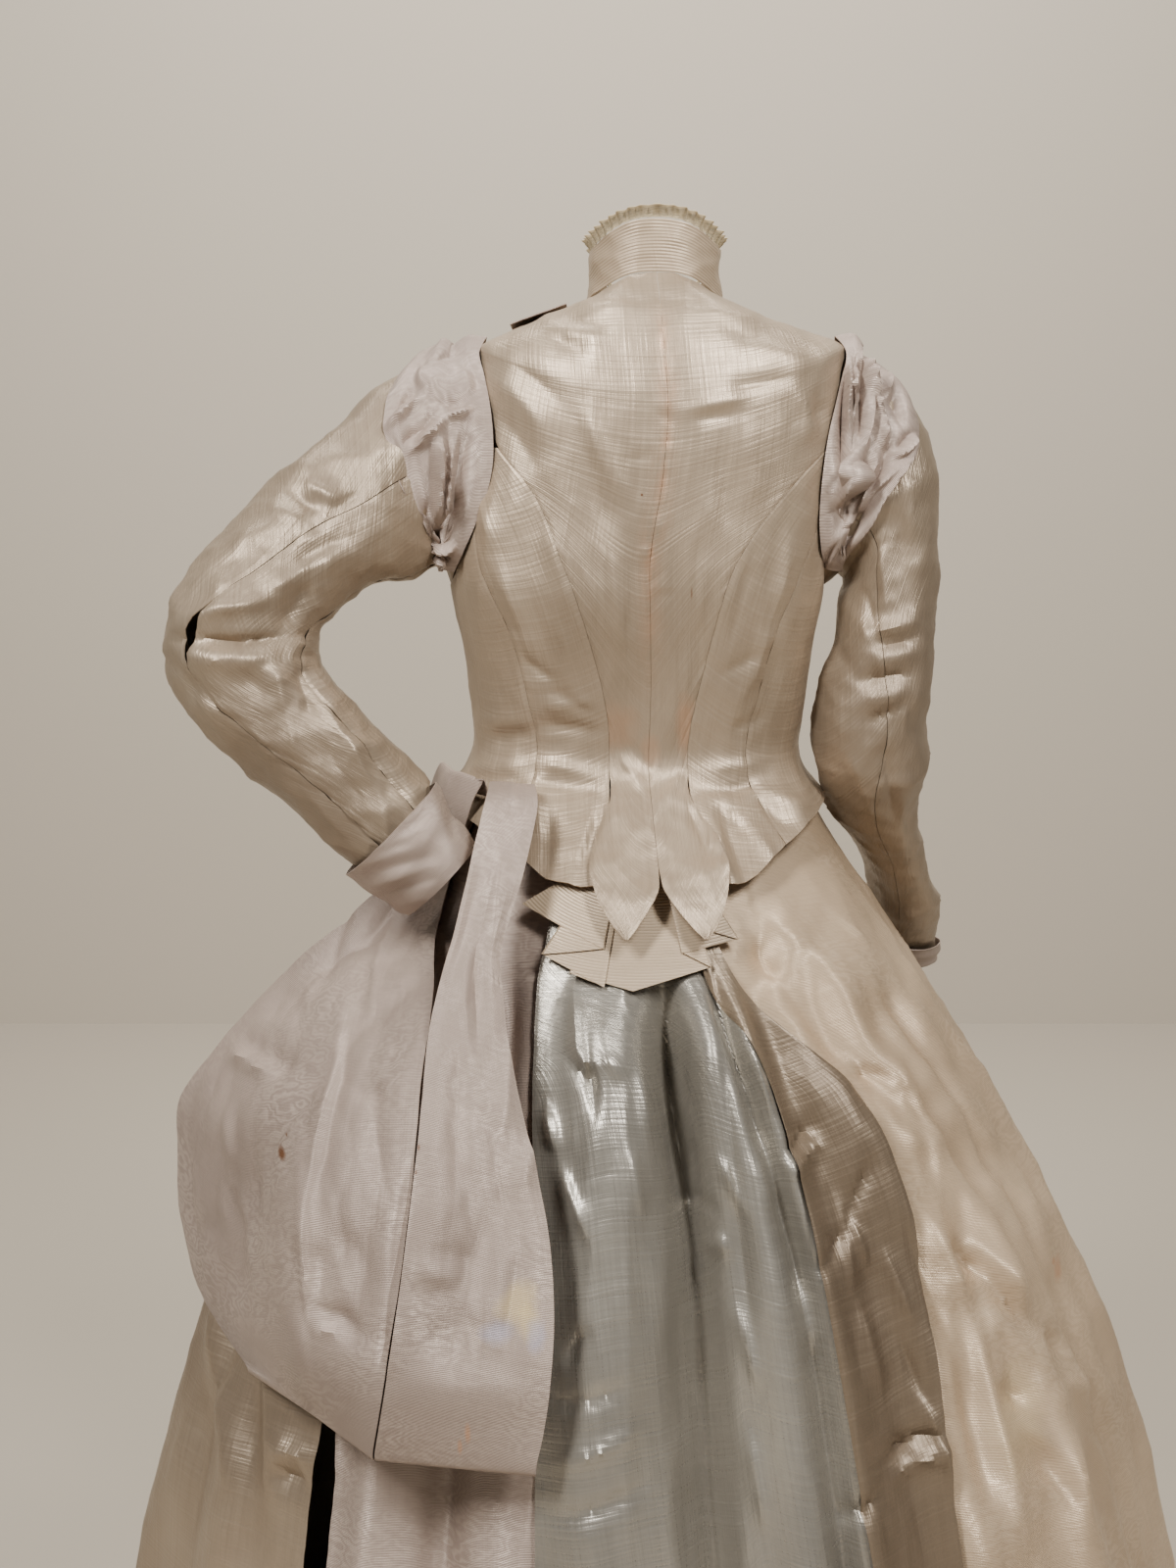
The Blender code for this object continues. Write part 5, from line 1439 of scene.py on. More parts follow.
half = SEAM_GAP / 2
skirt_pieces = [
    breadth("skirt_front", front_seam(1, half), right_seam_from_front, 70, 90, 60),
    breadth("skirt_side_left", slit_edge(1), front_seam(1, -half), 70, 160, 62),
    breadth("skirt_panel_left", edge_of("centre_left", half, -UNDERLAP), slit_edge(-1), 80, 170,
            64, -LAYER, 0.0040),
    breadth("skirt_back_centre", edge_of("centre_right", half, -UNDERLAP / 2),
            edge_of("centre_left", -half), 170, 210, 66, LAYER, 0.0045, 2.4),
    breadth("skirt_back_right", edge_of("drape_outer", half), edge_of("centre_right", -half), 70, 190,
            68, LAYER * 2.5, 0.0055, 1.8),
    breadth("skirt_side_right", front_seam(-1, half), edge_of("drape_outer", -half, UNDERLAP), 120,
            190, 70, 0.0, 0.0062, 2.2),
]

# %% [markdown]
# ## The fan
# Under the petals one length of ribbed faille is folded to and fro like a paper fan. The folds
# are pressed, so between two fold lines the cloth stays nearly flat and the edges stay sharp.

# %% Fan
FAN = table("x_top x_foot z_foot before after", [
    (0.021, 0.090, -0.094, 2.0, 2.0),
    (0.010, 0.026, -0.122, 2.0, 1.5),
    (0.018, 0.074, -0.127, 1.5, 1.0),
    (0.006, 0.026, -0.147, 1.0, 0.5),
    (0.014, 0.052, -0.139, 0.5, 0.0),
    (0.000, 0.004, -0.150, 0.0, 0.0),
    (-0.026, -0.056, -0.135, 0.0, 0.5),
    (-0.016, -0.034, -0.125, 0.5, 1.0),
    (-0.032, -0.078, -0.117, 1.0, 1.5),
    (-0.022, -0.040, -0.106, 1.5, 2.0),
    (-0.038, -0.072, -0.084, 2.0, 2.0),
])
FAN_LAYER = 0.0030
FAN_TOP = -0.0605
FAN_STAND = 0.0120
FAN_SWELL = 0.006
FAN_SWELL_FROM = -0.10
FAN_SWELL_RUN = 0.05
FAN_CURVE = 0.85
FAN_GATHERED = 0.85


def fan_lines():
    """The fan's lines in their order: the place of each in the table, and its layer."""
    lines = []
    for row, (before, after) in enumerate(zip(FAN["before"], FAN["after"])):
        lines += [(row - 0.5, before), (row, before)]
        if after != before:
            lines.append((row, after))
    return lines[1:]


FAN_ROWS, FAN_LAYERS = (np.array(column) for column in zip(*fan_lines()))
BEND = 0.12               # share of the grid that a bend gets, beside half a strip's
FAN_STOPS = np.concatenate([[0], np.cumsum(np.where(np.diff(FAN_ROWS) > 0, 1.0, BEND))])


def fan_cloth(u, v, lift):
    """A strip between two folds stays flat, and each fold turns it over the next layer."""
    row = np.interp(u * FAN_STOPS[-1], FAN_STOPS, FAN_ROWS)
    layer = np.interp(u * FAN_STOPS[-1], FAN_STOPS, FAN_LAYERS)
    column = {name: np.interp(row, np.arange(len(FAN[name])), FAN[name]) for name in FAN}
    height = FAN_TOP + (column["z_foot"] - FAN_TOP) * v
    x = column["x_top"] + (column["x_foot"] - column["x_top"]) * v ** FAN_CURVE
    centre = read(SKIRT, "centre_x", height)
    swell = FAN_SWELL * np.clip((FAN_SWELL_FROM - height) / FAN_SWELL_RUN, 0, 1) ** 2
    out = FAN_STAND + swell + layer * FAN_LAYER * (FAN_GATHERED + (1 - FAN_GATHERED) * v) + lift
    half_width = read(SKIRT, "half_width", height) + out
    angle = angle_at(x - centre, half_width)
    x, y = section(angle, half_width, read(SKIRT, "y_back", height) + out, 1.0)
    return np.stack([x + centre, y, height], axis=-1)


def fan_worn(base, across, width, down):
    return noise(base, (0.02, 0.02, 0.02), 80) * 0.0006


fan = lay_cloth("fan", fan_cloth, 160, 30, [fan_worn],
                thick=0.0006, angle=30, edge_fine=0.0)

# %% [markdown]
# ## The hanging loop
# Two breadths of lavender faille hang from the hip in a big pouch. They are turned up inside at
# the foot, and the seam between them is open at its top, behind the hand.

# %% Loop measurements
LOOP_RIGHT_EDGE = table("part x y z", [
    (0.00, 0.078, 0.146, -0.018),
    (0.10, 0.090, 0.196, -0.072),
    (0.20, 0.103, 0.226, -0.112),
    (0.32, 0.098, 0.258, -0.170),
    (0.48, 0.078, 0.292, -0.252),
    (0.62, 0.063, 0.318, -0.330),
    (0.80, 0.066, 0.340, -0.410),
    (1.00, 0.076, 0.344, -0.466),
])
LOOP_SEAM = table("part x y z", [
    (0.00, 0.122, 0.136, -0.014),
    (0.10, 0.136, 0.198, -0.072),
    (0.20, 0.149, 0.236, -0.120),
    (0.32, 0.157, 0.272, -0.178),
    (0.48, 0.163, 0.310, -0.250),
    (0.62, 0.172, 0.332, -0.322),
    (0.80, 0.184, 0.342, -0.404),
    (1.00, 0.194, 0.330, -0.461),
])
LOOP_SEAM_LEFT = table("part x y z", [
    (0.00, 0.142, 0.088, -0.068),
    (0.10, 0.158, 0.134, -0.128),
    (0.20, 0.152, 0.208, -0.144),
    (0.32, 0.157, 0.272, -0.178),
    (0.48, 0.163, 0.310, -0.250),
    (0.62, 0.172, 0.332, -0.322),
    (0.80, 0.184, 0.342, -0.404),
    (1.00, 0.194, 0.330, -0.461),
])
LOOP_MIDDLE = table("part x y z", [
    (0.00, 0.172, 0.058, -0.080),
    (0.10, 0.190, 0.088, -0.122),
    (0.20, 0.212, 0.150, -0.154),
    (0.32, 0.234, 0.214, -0.194),
    (0.48, 0.253, 0.258, -0.252),
    (0.62, 0.258, 0.282, -0.318),
    (0.80, 0.252, 0.296, -0.400),
    (1.00, 0.244, 0.286, -0.450),
])
LOOP_LEFT_EDGE = table("part x y z", [
    (0.00, 0.192, 0.046, -0.086),
    (0.10, 0.232, 0.072, -0.120),
    (0.20, 0.276, 0.088, -0.156),
    (0.32, 0.332, 0.092, -0.214),
    (0.48, 0.380, 0.088, -0.288),
    (0.62, 0.379, 0.104, -0.350),
    (0.80, 0.356, 0.146, -0.416),
    (1.00, 0.306, 0.218, -0.448),
])
LOOP_OPEN_TO = 0.28
LOOP_OPEN_WIDTH = 0.005
LOOP_DEPTH = 0.016
LOOP_ROOT_HEIGHT = -0.024
LOOP_ROOT_STAND = 0.0017
LOOP_UNDER = (0.25, 0.75)
LOOP_INSIDE = (0.96, 0.82, 0.68)
LOOP_PUFF_RIGHT = 0.008
LOOP_PUFF_LEFT = 0.014
LOOP_OPEN_GROWS = 0.06
LOOP_ROOT_ANGLES = (29.0, 47.0, 48.0, 88.0)
LOOP_ROLL = 0.014
LOOP_PARTS = (0.0, 0.07, 0.14, 0.21, 0.28, 0.36, 0.45, 0.55, 0.66, 0.78, 0.90, 1.0)


def curve(source, part):
    """Points of a given curve at shares of its length."""
    return np.stack([read(source, axis, part) for axis in "xyz"], axis=-1)


def loop_rows(source, root_angle, inward):
    """A curve of the loop: from its root over the roll, down, round its foot and up inside."""
    stand = np.array([LOOP_ROOT_STAND + WALL / 2])
    root = moved_out(bodice_form, np.array([root_angle]), np.array([LOOP_ROOT_HEIGHT]), stand)
    over = moved_out(bodice_form, np.array([root_angle]), np.array([LOOP_ROOT_HEIGHT]),
                     np.array([LOOP_ROLL])) + np.array([0, 0, LOOP_ROLL / 2])
    down = curve(source, np.array(LOOP_PARTS))
    under = []
    for share in LOOP_UNDER:
        drop = np.array([0, 0, -LOOP_DEPTH / 2])
        under.append(down[-1] + inward * LOOP_DEPTH * share + drop)
    up = curve(source, np.array(LOOP_INSIDE)) + inward * LOOP_DEPTH
    return np.concatenate([root, over, down, under, up])


# %% Creases of the loop
LOOP_CREASES = table("u1 v1 u2 v2 width height bow", [
    (335, 1061, 316, 1212, 5, -3.6, 2),
    (316, 1212, 322, 1329, 5, -3.4, -2),
    (345, 1070, 328, 1200, 8, 3, 0),
    (300, 1180, 306, 1300, 9, 2, 0),
    (322, 1329, 362, 1332, 5, -4.5, 0),
    (324, 1318, 372, 1318, 7, 3.6, 0),
    (326, 1345, 372, 1350, 8, 3, 0),
    (197, 1140, 262, 1132, 5, -4.5, 0),
    (200, 1126, 290, 1118, 8, 3.5, 0),
    (326, 985, 300, 1050, 5, 3, 0),
    (300, 1050, 257, 1110, 6, -3, 0),
    (372, 985, 365, 1060, 6, -3, 0),
    (395, 960, 345, 1010, 8, 2.5, 0),
    (355, 1115, 395, 1110, 8, 2.5, 0),
    (300, 1395, 288, 1440, 6, -6, 0),
    (306, 1400, 345, 1440, 7, 4, 0),
    (345, 1440, 380, 1462, 6, -3.5, 0),
    (400, 1330, 335, 1322, 6, 2, 0),
    (425, 1165, 404, 1285, 4, 2.6, 0),
    (404, 1285, 388, 1460, 4, 2.8, 0),
    (412, 1290, 397, 1460, 6, -2.2, 0),
    (470, 1075, 468, 1200, 9, 2.6, 0),
    (440, 1245, 500, 1258, 7, 2.4, 0),
    (430, 1262, 480, 1268, 6, -2.6, 0),
    (482, 975, 488, 1060, 5, 2.6, 0),
    (470, 1010, 480, 1080, 6, -2.2, 0),
    (520, 1060, 515, 1150, 7, -2.6, 0),
    (535, 1240, 520, 1330, 8, 2.4, 0),
    (550, 1150, 530, 1200, 6, -2.6, 0),
    (470, 1290, 462, 1440, 8, 1.8, 0),
    (500, 1290, 492, 1460, 8, -1.6, 0),
    (240, 1200, 252, 1290, 12, 2.2, 0),
    (215, 1230, 260, 1330, 9, -2.6, 0),
    (205, 1180, 220, 1230, 6, -3.2, 0),
    (245, 1330, 290, 1322, 5, -2.4, 0),
    (270, 1260, 290, 1330, 10, -2, 0),
    (262, 1010, 300, 1000, 9, 2, 0),
    (470, 800, 476, 860, 6, 2.4, 0),
    (500, 810, 518, 850, 5, -3, 0),
    (478, 900, 455, 990, 6, 2.6, 0),
    (505, 900, 500, 980, 8, -2.4, 0),
])


# %% Loop breadths
def loop_points(edges, puff, columns):
    """A breadth of the loop between given curves, puffed out between them."""
    share = np.linspace(0, 1, columns)[None, :, None]
    strips = []
    for here, there in zip(edges[:-1], edges[1:]):
        strip = here[:, None] * (1 - share) + there[:, None] * share
        strips.append(strip if not strips else strip[:, 1:])
    points = np.concatenate(strips, axis=1)
    across = np.sin(np.linspace(0, math.pi, points.shape[1]))
    down = np.zeros(len(points))
    down[2:2 + len(LOOP_PARTS)] = np.sin(np.linspace(0, math.pi, len(LOOP_PARTS)))
    points[..., 1] += puff * np.outer(down, across)
    return points


def loop_worn(seed):
    """The creases of the loop, which fade where it turns up inside."""
    def lift(base, across, width, down):
        outside = np.clip((down[-1:] * 0.72 - down) / 0.02, 0, 1)
        outside = outside * np.clip(down / 0.03, 0, 1)
        wide = crumple(base, (0.080, 0.080, 0.110), seed) * 0.0070
        soft = crumple(base, (0.030, 0.030, 0.045), seed + 1) * 0.0026
        fine = crumple(base, (0.012, 0.012, 0.018), seed + 2) * 0.0008
        calm = np.clip(np.minimum(across, width - across) / 0.030, 0.3, 1)
        placed = creases(base, LOOP_CREASES, LOOP_BEHIND) * LOOP_GAIN
        return ((wide + soft + fine) * calm + placed) * outside
    return lift


inward = np.array([0.0, -1.0, 0.0])
aslant = np.array([-0.35, -0.80, 0.0])
right_root, seam_root, left_seam_root, left_root = LOOP_ROOT_ANGLES
right_edge = loop_rows(LOOP_RIGHT_EDGE, right_root, inward)
seam = loop_rows(LOOP_SEAM, seam_root, inward)
left_seam = loop_rows(LOOP_SEAM_LEFT, left_seam_root, inward)
middle = loop_rows(LOOP_MIDDLE, (left_seam_root + left_root) / 2, aslant)
left_edge = loop_rows(LOOP_LEFT_EDGE, left_root, aslant)
part = np.array((0.0, 0.0) + LOOP_PARTS + (1.0,) * (len(LOOP_UNDER) + len(LOOP_INSIDE)))
opened = np.clip((LOOP_OPEN_TO - part) / LOOP_OPEN_GROWS, 0, 1)
gap = SEAM_GAP * 4 + LOOP_OPEN_WIDTH * opened
shift = np.outer(gap / 2, [1.0, 0.0, 0.0])
loop_right = lay_cloth("loop_right_breadth",
                       free_form(loop_points([right_edge, seam - shift], LOOP_PUFF_RIGHT, 7), -1),
                       80, 180, [loop_worn(90)])
loop_left = lay_cloth("loop_left_breadth",
                      free_form(loop_points([left_seam + shift, middle, left_edge],
                                            LOOP_PUFF_LEFT, 6), -1),
                      120, 180, [loop_worn(92)])

# %% [markdown]
# ## Silk
# Shader maths reads best as plain expressions, so one small class wraps a socket and lets
# Python's operators add the Math nodes. Two recipes cover the whole dress. Taffeta is smooth and
# shines like metal along its creases. Faille has fine ribs and only a soft lustre, with the
# faint watered lines of moire.

# %% Shader helpers
class Wire:
    """A socket's value. Operators on it add Math nodes."""

    def __init__(self, tree, socket):
        self.tree = tree
        self.socket = socket

    def math(self, operation, *others):
        made = self.tree.nodes.new("ShaderNodeMath")
        made.operation = operation
        for slot, value in zip(made.inputs, (self,) + others):
            connect(self.tree, value, slot)
        return Wire(self.tree, made.outputs[0])

    def __add__(self, other):
        return self.math("ADD", other)

    def __radd__(self, other):
        return self.math("ADD", other)

    def __mul__(self, other):
        return self.math("MULTIPLY", other)

    def __rmul__(self, other):
        return self.math("MULTIPLY", other)

    def __sub__(self, other):
        return self.math("SUBTRACT", other)

    def __rsub__(self, other):
        made = self.math("MULTIPLY", -1.0)
        return made + other

    def __truediv__(self, other):
        return self.math("DIVIDE", other)

    def __pow__(self, other):
        return self.math("POWER", other)

    def clamped(self):
        return self.math("MAXIMUM", 0.0).math("MINIMUM", 1.0)


def connect(tree, value, slot):
    """Link a wire to a socket, or set the socket's own value."""
    if isinstance(value, Wire):
        tree.links.new(value.socket, slot)
    else:
        slot.default_value = value


class Recipe:
    """A material under construction, with one method for every kind of node."""

    def __init__(self, name):
        self.material = bpy.data.materials.new(name)
        self.material.use_nodes = True
        self.tree = self.material.node_tree
        self.shader = self.tree.nodes["Principled BSDF"]
        self.output = self.tree.nodes["Material Output"]

    def node(self, kind, settings=None, inputs=None, output=0):
        made = self.tree.nodes.new(kind)
        for key, value in (settings or {}).items():
            setattr(made, key, value)
        for key, value in (inputs or {}).items():
            connect(self.tree, value, made.inputs[key])
        return Wire(self.tree, made.outputs[output])

    def mix(self, first, second, factor):
        """Mix two colours."""
        return self.node("ShaderNodeMix", {"data_type": "RGBA"}, {0: factor, 6: first, 7: second}, 2)

    def set(self, **values):
        for key, value in values.items():
            connect(self.tree, value, self.shader.inputs[key.replace("_", " ")])

    def place(self):
        """Where a point lies in the dress: a vector and its three numbers."""
        point = self.node("ShaderNodeTexCoord", output=3)
        return (point,) + self.split(point)

    def cloth_place(self):
        """Where a point lies on its own piece, in metres."""
        return self.node("ShaderNodeUVMap")

    def split(self, vector):
        made = self.tree.nodes.new("ShaderNodeSeparateXYZ")
        connect(self.tree, vector, made.inputs[0])
        return tuple(Wire(self.tree, out) for out in made.outputs)

    def noise(self, vector, scale, stretch=(1, 1, 1), detail=4.0, kind="FBM", roughness=0.5):
        turned = self.node("ShaderNodeMapping", {}, {"Vector": vector, "Scale": stretch})
        return self.node("ShaderNodeTexNoise", {"noise_type": kind},
                         {"Vector": turned, "Scale": scale, "Detail": detail,
                          "Roughness": roughness})

    def bump(self, height, distance, below=None, strength=1.0):
        inputs = {"Height": height, "Distance": distance, "Strength": strength}
        if below is not None:
            inputs["Normal"] = below
        return self.node("ShaderNodeBump", {}, inputs)


def colour(red, green, blue):
    return (red, green, blue, 1.0)


# %% Stains
def spot(recipe, place, centre, reach, ragged=0.5, scale=60.0):
    """A mask round a place on the dress, with a ragged edge."""
    point, x, y, z = place
    wide = ((x - centre[0]) / reach[0]) ** 2
    tall = ((z - centre[1]) / reach[1]) ** 2
    edge = recipe.noise(point, scale, detail=3.0) - 0.5
    away = (wide + tall).math("SQRT") + edge * ragged
    return ((1.0 - away) * 1.6).clamped()


# %% Taffeta
def stained(silk, look, place, stains):
    """Lay stains over a colour. Their places and reaches are pixels of the picture."""
    for tint, rows in stains:
        for u, v, wide, tall, ragged, strength, depth in zip(*rows.values()):
            x, z = seen_at(u, v, depth)
            edge_x, edge_z = seen_at(u + wide, v + tall, depth)
            mask = spot(silk, place, (x, z), (x - edge_x, z - edge_z), ragged)
            look = silk.mix(look, tint, mask * strength)
    return look


def taffeta(name, base, shade, light, rough=0.41, metal=0.42, crisp=1.0, seam_rust=0.0, stains=()):
    """Crisp plain-woven silk: colour that shifts in the light, and a sharp fine crinkle."""
    silk = Recipe(name)
    place = silk.place()
    point = place[0]
    cloth = silk.cloth_place()
    tone = silk.noise(point, 8.0, (1, 1, 0.5), detail=5.0)
    streaks = silk.noise(cloth, 1.0, (420, 9, 1), detail=3.0)
    cross = silk.noise(cloth, 1.0, (9, 420, 1), detail=3.0)
    look = silk.mix(base, shade, ((tone - 0.42) * 3.0).clamped())
    look = silk.mix(look, light, ((0.44 - tone) * 3.0).clamped() * 0.6)
    look = silk.mix(look, shade, ((streaks - 0.45) * 2.0).clamped() * 0.35)
    look = silk.mix(look, light, ((cross - 0.50) * 2.0).clamped() * 0.25)
    if seam_rust:
        across, down, _ = silk.split(cloth)
        blot = silk.noise(cloth, 1.0, (60, 26, 1), detail=5.0, roughness=0.7)
        near = (1.0 - across / 0.016).clamped() ** 1.5
        high = ((down - 0.02) / 0.05).clamped() * ((0.36 - down) / 0.10).clamped()
        line = (1.0 - across / 0.0030).clamped() * (blot - 0.25).clamped()
        rust = (near * ((blot - 0.38) * 4.0).clamped() * high + line * high) * seam_rust
        look = silk.mix(look, RUST, rust.clamped())
    look = stained(silk, look, place, stains)
    crinkle = silk.noise(point, 9.0, (1, 1, 0.5), detail=3.0, kind="RIDGED_MULTIFRACTAL")
    folds = silk.noise(point, 70.0, (1, 1, 0.5), detail=2.0)
    soft = silk.bump(crinkle, 0.0065 * crisp)
    soft = silk.bump(folds, 0.0007 * crisp, soft)
    soft = silk.bump(streaks + cross, 0.00045, soft)
    gloss = silk.noise(point, 24.0, (1, 1, 0.5), detail=3.0)
    silk.set(Base_Color=look, Roughness=rough + (gloss - 0.5) * 0.22 + (cross - streaks) * 0.25,
             Metallic=metal, Normal=soft)
    return silk.material


# %% Faille
def faille(name, base, shade, light, rough=0.46, rib=0.0012, ribbed=1.0, moire=0.7, metal=0.22,
           stains=()):
    """Ribbed silk with a soft lustre and the faint wandering lines of moire."""
    silk = Recipe(name)
    place = silk.place()
    point = place[0]
    cloth = silk.cloth_place()
    across, down, _ = silk.split(cloth)
    tone = silk.noise(point, 7.0, detail=4.0)
    drift = silk.noise(cloth, 1.0, (7, 14, 1), detail=4.0, roughness=0.6)
    water = (drift * 150.0 + down * 60.0).math("SINE") * 0.5 + 0.5
    patch = ((silk.noise(cloth, 1.0, (11, 9, 1), detail=3.0) - 0.42) * 5.0).clamped()
    water = water * patch
    ribs = (down * (2 * math.pi / rib)).math("SINE") * 0.5 + 0.5
    threads = silk.noise(cloth, 1.0, (14, 700, 1), detail=2.0)
    warp = silk.noise(cloth, 1.0, (500, 10, 1), detail=2.0)
    look = silk.mix(base, shade, ((tone - 0.42) * 2.6).clamped())
    look = silk.mix(look, light, water * moire)
    look = silk.mix(look, shade, (patch - water).clamped() * moire * 0.6)
    look = silk.mix(look, light, ((0.44 - tone) * 3.0).clamped() * 0.5)
    look = silk.mix(look, shade, ((threads - 0.45) * 2.0).clamped() * 0.4)
    look = silk.mix(look, shade, ((warp - 0.5) * 2.0).clamped() * 0.3)
    look = silk.mix(look, shade, (1.0 - ribs) * 0.35 * ribbed)
    look = stained(silk, look, place, stains)
    crinkle = silk.noise(point, 8.0, (1, 1, 0.6), detail=3.0, kind="RIDGED_MULTIFRACTAL")
    soft = silk.bump(crinkle, 0.0050)
    soft = silk.bump(ribs, 0.00020 * ribbed, soft)
    soft = silk.bump(threads + warp, 0.00012, soft)
    silk.set(Base_Color=look, Roughness=rough - water * 0.10, Metallic=metal, Normal=soft)
    return silk.material


# %% Lace
def lace_cotton(name):
    """Cream net with a worked edge. The gaps in the net are left partly clear."""
    net = Recipe(name)
    cloth = net.cloth_place()
    cells = net.node("ShaderNodeTexVoronoi", {"feature": "DISTANCE_TO_EDGE"},
                     {"Vector": cloth, "Scale": 620.0})
    thread = ((0.20 - cells) * 12.0).clamped()
    across, down, _ = net.split(cloth)
    cord = ((0.0022 - down) * 2000.0).clamped()
    solid = (thread + cord).clamped()
    tone = net.noise(cloth, 300.0)
    look = net.mix(colour(0.50, 0.39, 0.22), colour(0.66, 0.56, 0.38), tone)
    net.set(Base_Color=look, Roughness=0.85, Alpha=solid * 0.55 + 0.45,
            Normal=net.bump(solid, 0.0003))
    return net.material


# %% Dressing the pieces
RUST = colour(0.50, 0.27, 0.15)
BROWN = colour(0.14, 0.055, 0.02)
BLUE = colour(0.36, 0.34, 0.42)
YELLOW = colour(0.62, 0.48, 0.24)
BACK_RUST = table("u v wide tall ragged strength depth", [
    (628, 742, 26, 30, 1.0, 0.30, 0.09),
    (700, 740, 13, 40, 1.0, 0.45, 0.09),
    (664, 765, 12, 22, 1.0, 0.30, 0.09),
])
BACK_BROWN = table("u v wide tall ragged strength depth", [
    (655, 505, 1.6, 1.6, 0.0, 1.0, 0.11),
    (706, 606, 1.2, 8.0, 0.3, 0.6, 0.11),
])
LOOP_BROWN = table("u v wide tall ragged strength depth", [
    (286, 1179, 7.0, 6.0, 0.35, 1.0, 0.26),
    (290, 1163, 1.5, 1.5, 0.2, 1.0, 0.26),
    (428, 1168, 2.0, 4.0, 0.5, 0.7, 0.30),
    (426, 1190, 1.4, 3.0, 0.5, 0.7, 0.30),
])
LOOP_YELLOW = table("u v wide tall ragged strength depth", [
    (528, 1318, 26, 22, 1.0, 0.6, 0.31),
    (540, 1335, 14, 22, 1.0, 0.5, 0.31),
])
LOOP_BLUE = table("u v wide tall ragged strength depth", [
    (508, 1345, 20, 14, 1.0, 0.6, 0.31),
    (548, 1350, 12, 20, 1.0, 0.55, 0.31),
])
LOOP_RUST = table("u v wide tall ragged strength depth", [
    (480, 1440, 4, 12, 0.8, 0.7, 0.31),
    (472, 1455, 3, 10, 0.8, 0.6, 0.31),
])
CREAM_RUST = table("u v wide tall ragged strength depth", [
    (1126, 1376, 7, 14, 0.8, 0.6, 0.26),
    (1120, 1366, 3, 4, 0.5, 0.7, 0.26),
])
CREAM_YELLOW = table("u v wide tall ragged strength depth", [
    (1060, 1490, 40, 60, 1.0, 0.25, 0.30),
])

TAUPE = (colour(0.31, 0.24, 0.17), colour(0.205, 0.155, 0.11), colour(0.49, 0.40, 0.295))
# The bodice's taupe below is a lighter copy of the sleeves' taupe taffeta: painted light, for the
# brighter sheen on the bodice.
PAINTED_LIGHT_TAUPE = (colour(0.40, 0.31, 0.22), colour(0.28, 0.215, 0.15), colour(0.59, 0.48, 0.355))
DARK_TAUPE = (colour(0.21, 0.16, 0.11), colour(0.15, 0.11, 0.075), colour(0.36, 0.285, 0.20))
SILVER = (colour(0.35, 0.325, 0.28), colour(0.215, 0.20, 0.175), colour(0.54, 0.51, 0.445))
LAVENDER = (colour(0.40, 0.315, 0.265), colour(0.285, 0.22, 0.185), colour(0.54, 0.44, 0.37))
CREAM = (colour(0.59, 0.445, 0.30), colour(0.40, 0.295, 0.195), colour(0.74, 0.59, 0.425))
BEIGE = (colour(0.50, 0.385, 0.265), colour(0.33, 0.25, 0.17), colour(0.62, 0.50, 0.36))

taupe = taffeta("taupe_taffeta", *TAUPE)
# The bodice panels and backs get that lighter taupe copy: painted light, not a paler silk.
taupe_bodice = taffeta("taupe_taffeta_bodice", *PAINTED_LIGHT_TAUPE, crisp=0.6)
taupe_back = taffeta("taupe_taffeta_back", *PAINTED_LIGHT_TAUPE, crisp=0.6, seam_rust=0.5,
                     stains=((RUST, BACK_RUST), (BROWN, BACK_BROWN)))
taupe_drape = taffeta("taupe_taffeta_drape", *DARK_TAUPE)
silver = taffeta("silver_taffeta", *SILVER, rough=0.33, metal=0.55)
lavender = faille("lavender_faille", *LAVENDER)
lavender_loop = faille("lavender_faille_loop", *LAVENDER,
                       stains=((BROWN, LOOP_BROWN), (YELLOW, LOOP_YELLOW), (BLUE, LOOP_BLUE),
                               (RUST, LOOP_RUST)))
cream = faille("cream_faille", *CREAM, rough=0.40, moire=0.35, metal=0.30,
               stains=((RUST, CREAM_RUST), (YELLOW, CREAM_YELLOW)))
beige = faille("beige_faille", *BEIGE, rib=0.0026, ribbed=1.6, moire=0.15)
lace_look = lace_cotton("cream_lace")


def dress(pieces, look):
    """Give every piece in a list its material."""
    for piece in pieces:
        piece.data.materials.clear()
        piece.data.materials.append(look)


dress(bodice_pieces, taupe_bodice)
dress([bodice_pieces[0], bodice_pieces[4]], taupe_back)
dress(sleeve_pieces, taupe)
dress(cuff_pieces + [drape_left, drape_right, flap], lavender)
dress([collar, fan], beige)
dress([lace], lace_look)
dress([skirt_pieces[0], skirt_pieces[1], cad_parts["waistband"]], taupe)
dress([skirt_pieces[4]], taupe_drape)
dress([skirt_pieces[2]], lavender)
dress([skirt_pieces[3]], silver)
dress([skirt_pieces[5]], cream)
dress([loop_right, loop_left], lavender_loop)
print("materials:", len(bpy.data.materials))

# %% [markdown]
# ## Studio
# The dress stands before a pale wall. The camera is about 27 cm above the waist and looks
# slightly down at the back of the dress, with a normal lens. Two soft lights stand high on either
# side of it, so the creases shade from both sides and the skirt darkens toward its hem.

# %% Camera
WAIST_HEIGHT = 1.03
camera_data = bpy.data.cameras.new("camera")
camera_data.lens = 45.0
camera_data.sensor_width = 36.0
camera = bpy.data.objects.new("camera", camera_data)
camera.location = CAMERA_SPOT
camera.rotation_euler = (math.radians(90.0 - CAMERA_DIP), 0.0, math.radians(180.0))
bpy.context.scene.collection.objects.link(camera)
bpy.context.scene.camera = camera


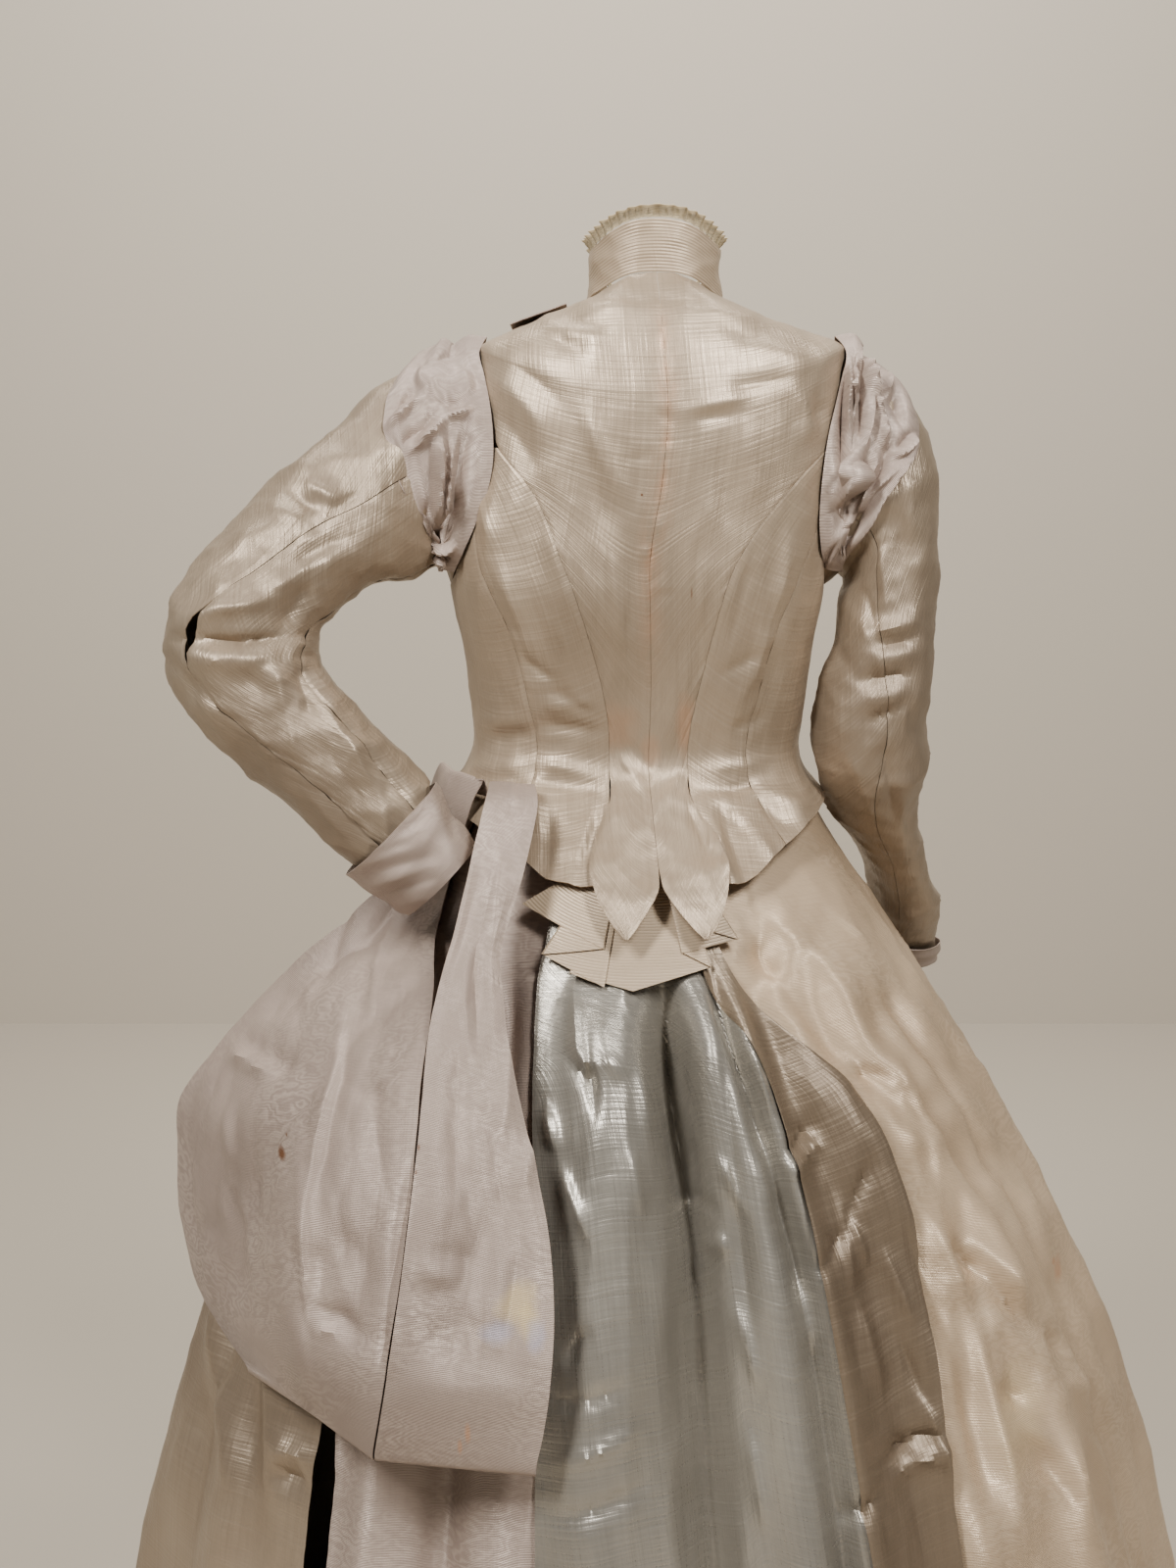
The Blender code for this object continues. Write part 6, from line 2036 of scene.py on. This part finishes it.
# %% Floor, wall and lights
def plain(name, tint, rough=0.9):
    paint = Recipe(name)
    paint.set(Base_Color=tint, Roughness=rough)
    return paint.material


bpy.ops.object.select_all(action="DESELECT")
bpy.ops.mesh.primitive_plane_add(size=14, location=(0, 0, -WAIST_HEIGHT - 0.002))
floor = bpy.context.object
floor.name = "floor"
bpy.ops.mesh.primitive_plane_add(size=14, location=(0, -2.6, 4.0), rotation=(math.radians(90), 0, 0))
wall = bpy.context.object
wall.name = "wall"
backdrop = plain("backdrop", colour(0.52, 0.465, 0.385))
for piece in (floor, wall):
    piece.data.materials.append(backdrop)


def soft_light(name, where, toward, size, power, tint=(1.0, 0.97, 0.93)):
    """A large soft lamp at a place, turned to face a point."""
    data = bpy.data.lights.new(name, "AREA")
    data.shape = "RECTANGLE"
    data.size = size[0]
    data.size_y = size[1]
    data.energy = power
    data.color = tint
    lamp = bpy.data.objects.new(name, data)
    lamp.location = where
    away = np.array(where) - np.array(toward)
    turn = math.atan2(away[1], away[0]) + math.pi / 2
    tilt = math.atan2(math.hypot(away[0], away[1]), away[2])
    lamp.rotation_euler = (tilt, 0.0, turn)
    bpy.context.scene.collection.objects.link(lamp)
    return lamp


soft_light("key_left", (1.3, 1.7, 1.9), (0, 0, 0.0), (0.45, 1.0), 98)
soft_light("key_right", (-1.1, 1.7, 1.9), (0, 0, 0.0), (0.45, 1.0), 84)
soft_light("wall_wash", (0.0, -0.9, 2.4), (0.0, -2.6, 0.2), (2.4, 1.0), 90)
room = bpy.data.worlds.new("room")
room.use_nodes = True
room.node_tree.nodes["Background"].inputs["Color"].default_value = (0.95, 0.96, 1.0, 1.0)
room.node_tree.nodes["Background"].inputs["Strength"].default_value = 0.09
bpy.context.scene.world = room

# %% Final size and finish
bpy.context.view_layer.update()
print("triangles:", sum(len(piece.data.polygons) * 2 for piece in bodice_pieces + sleeve_pieces
                        + cuff_pieces + skirt_pieces + [collar, lace, drape_left, drape_right,
                                                        flap, fan, loop_right, loop_left]))
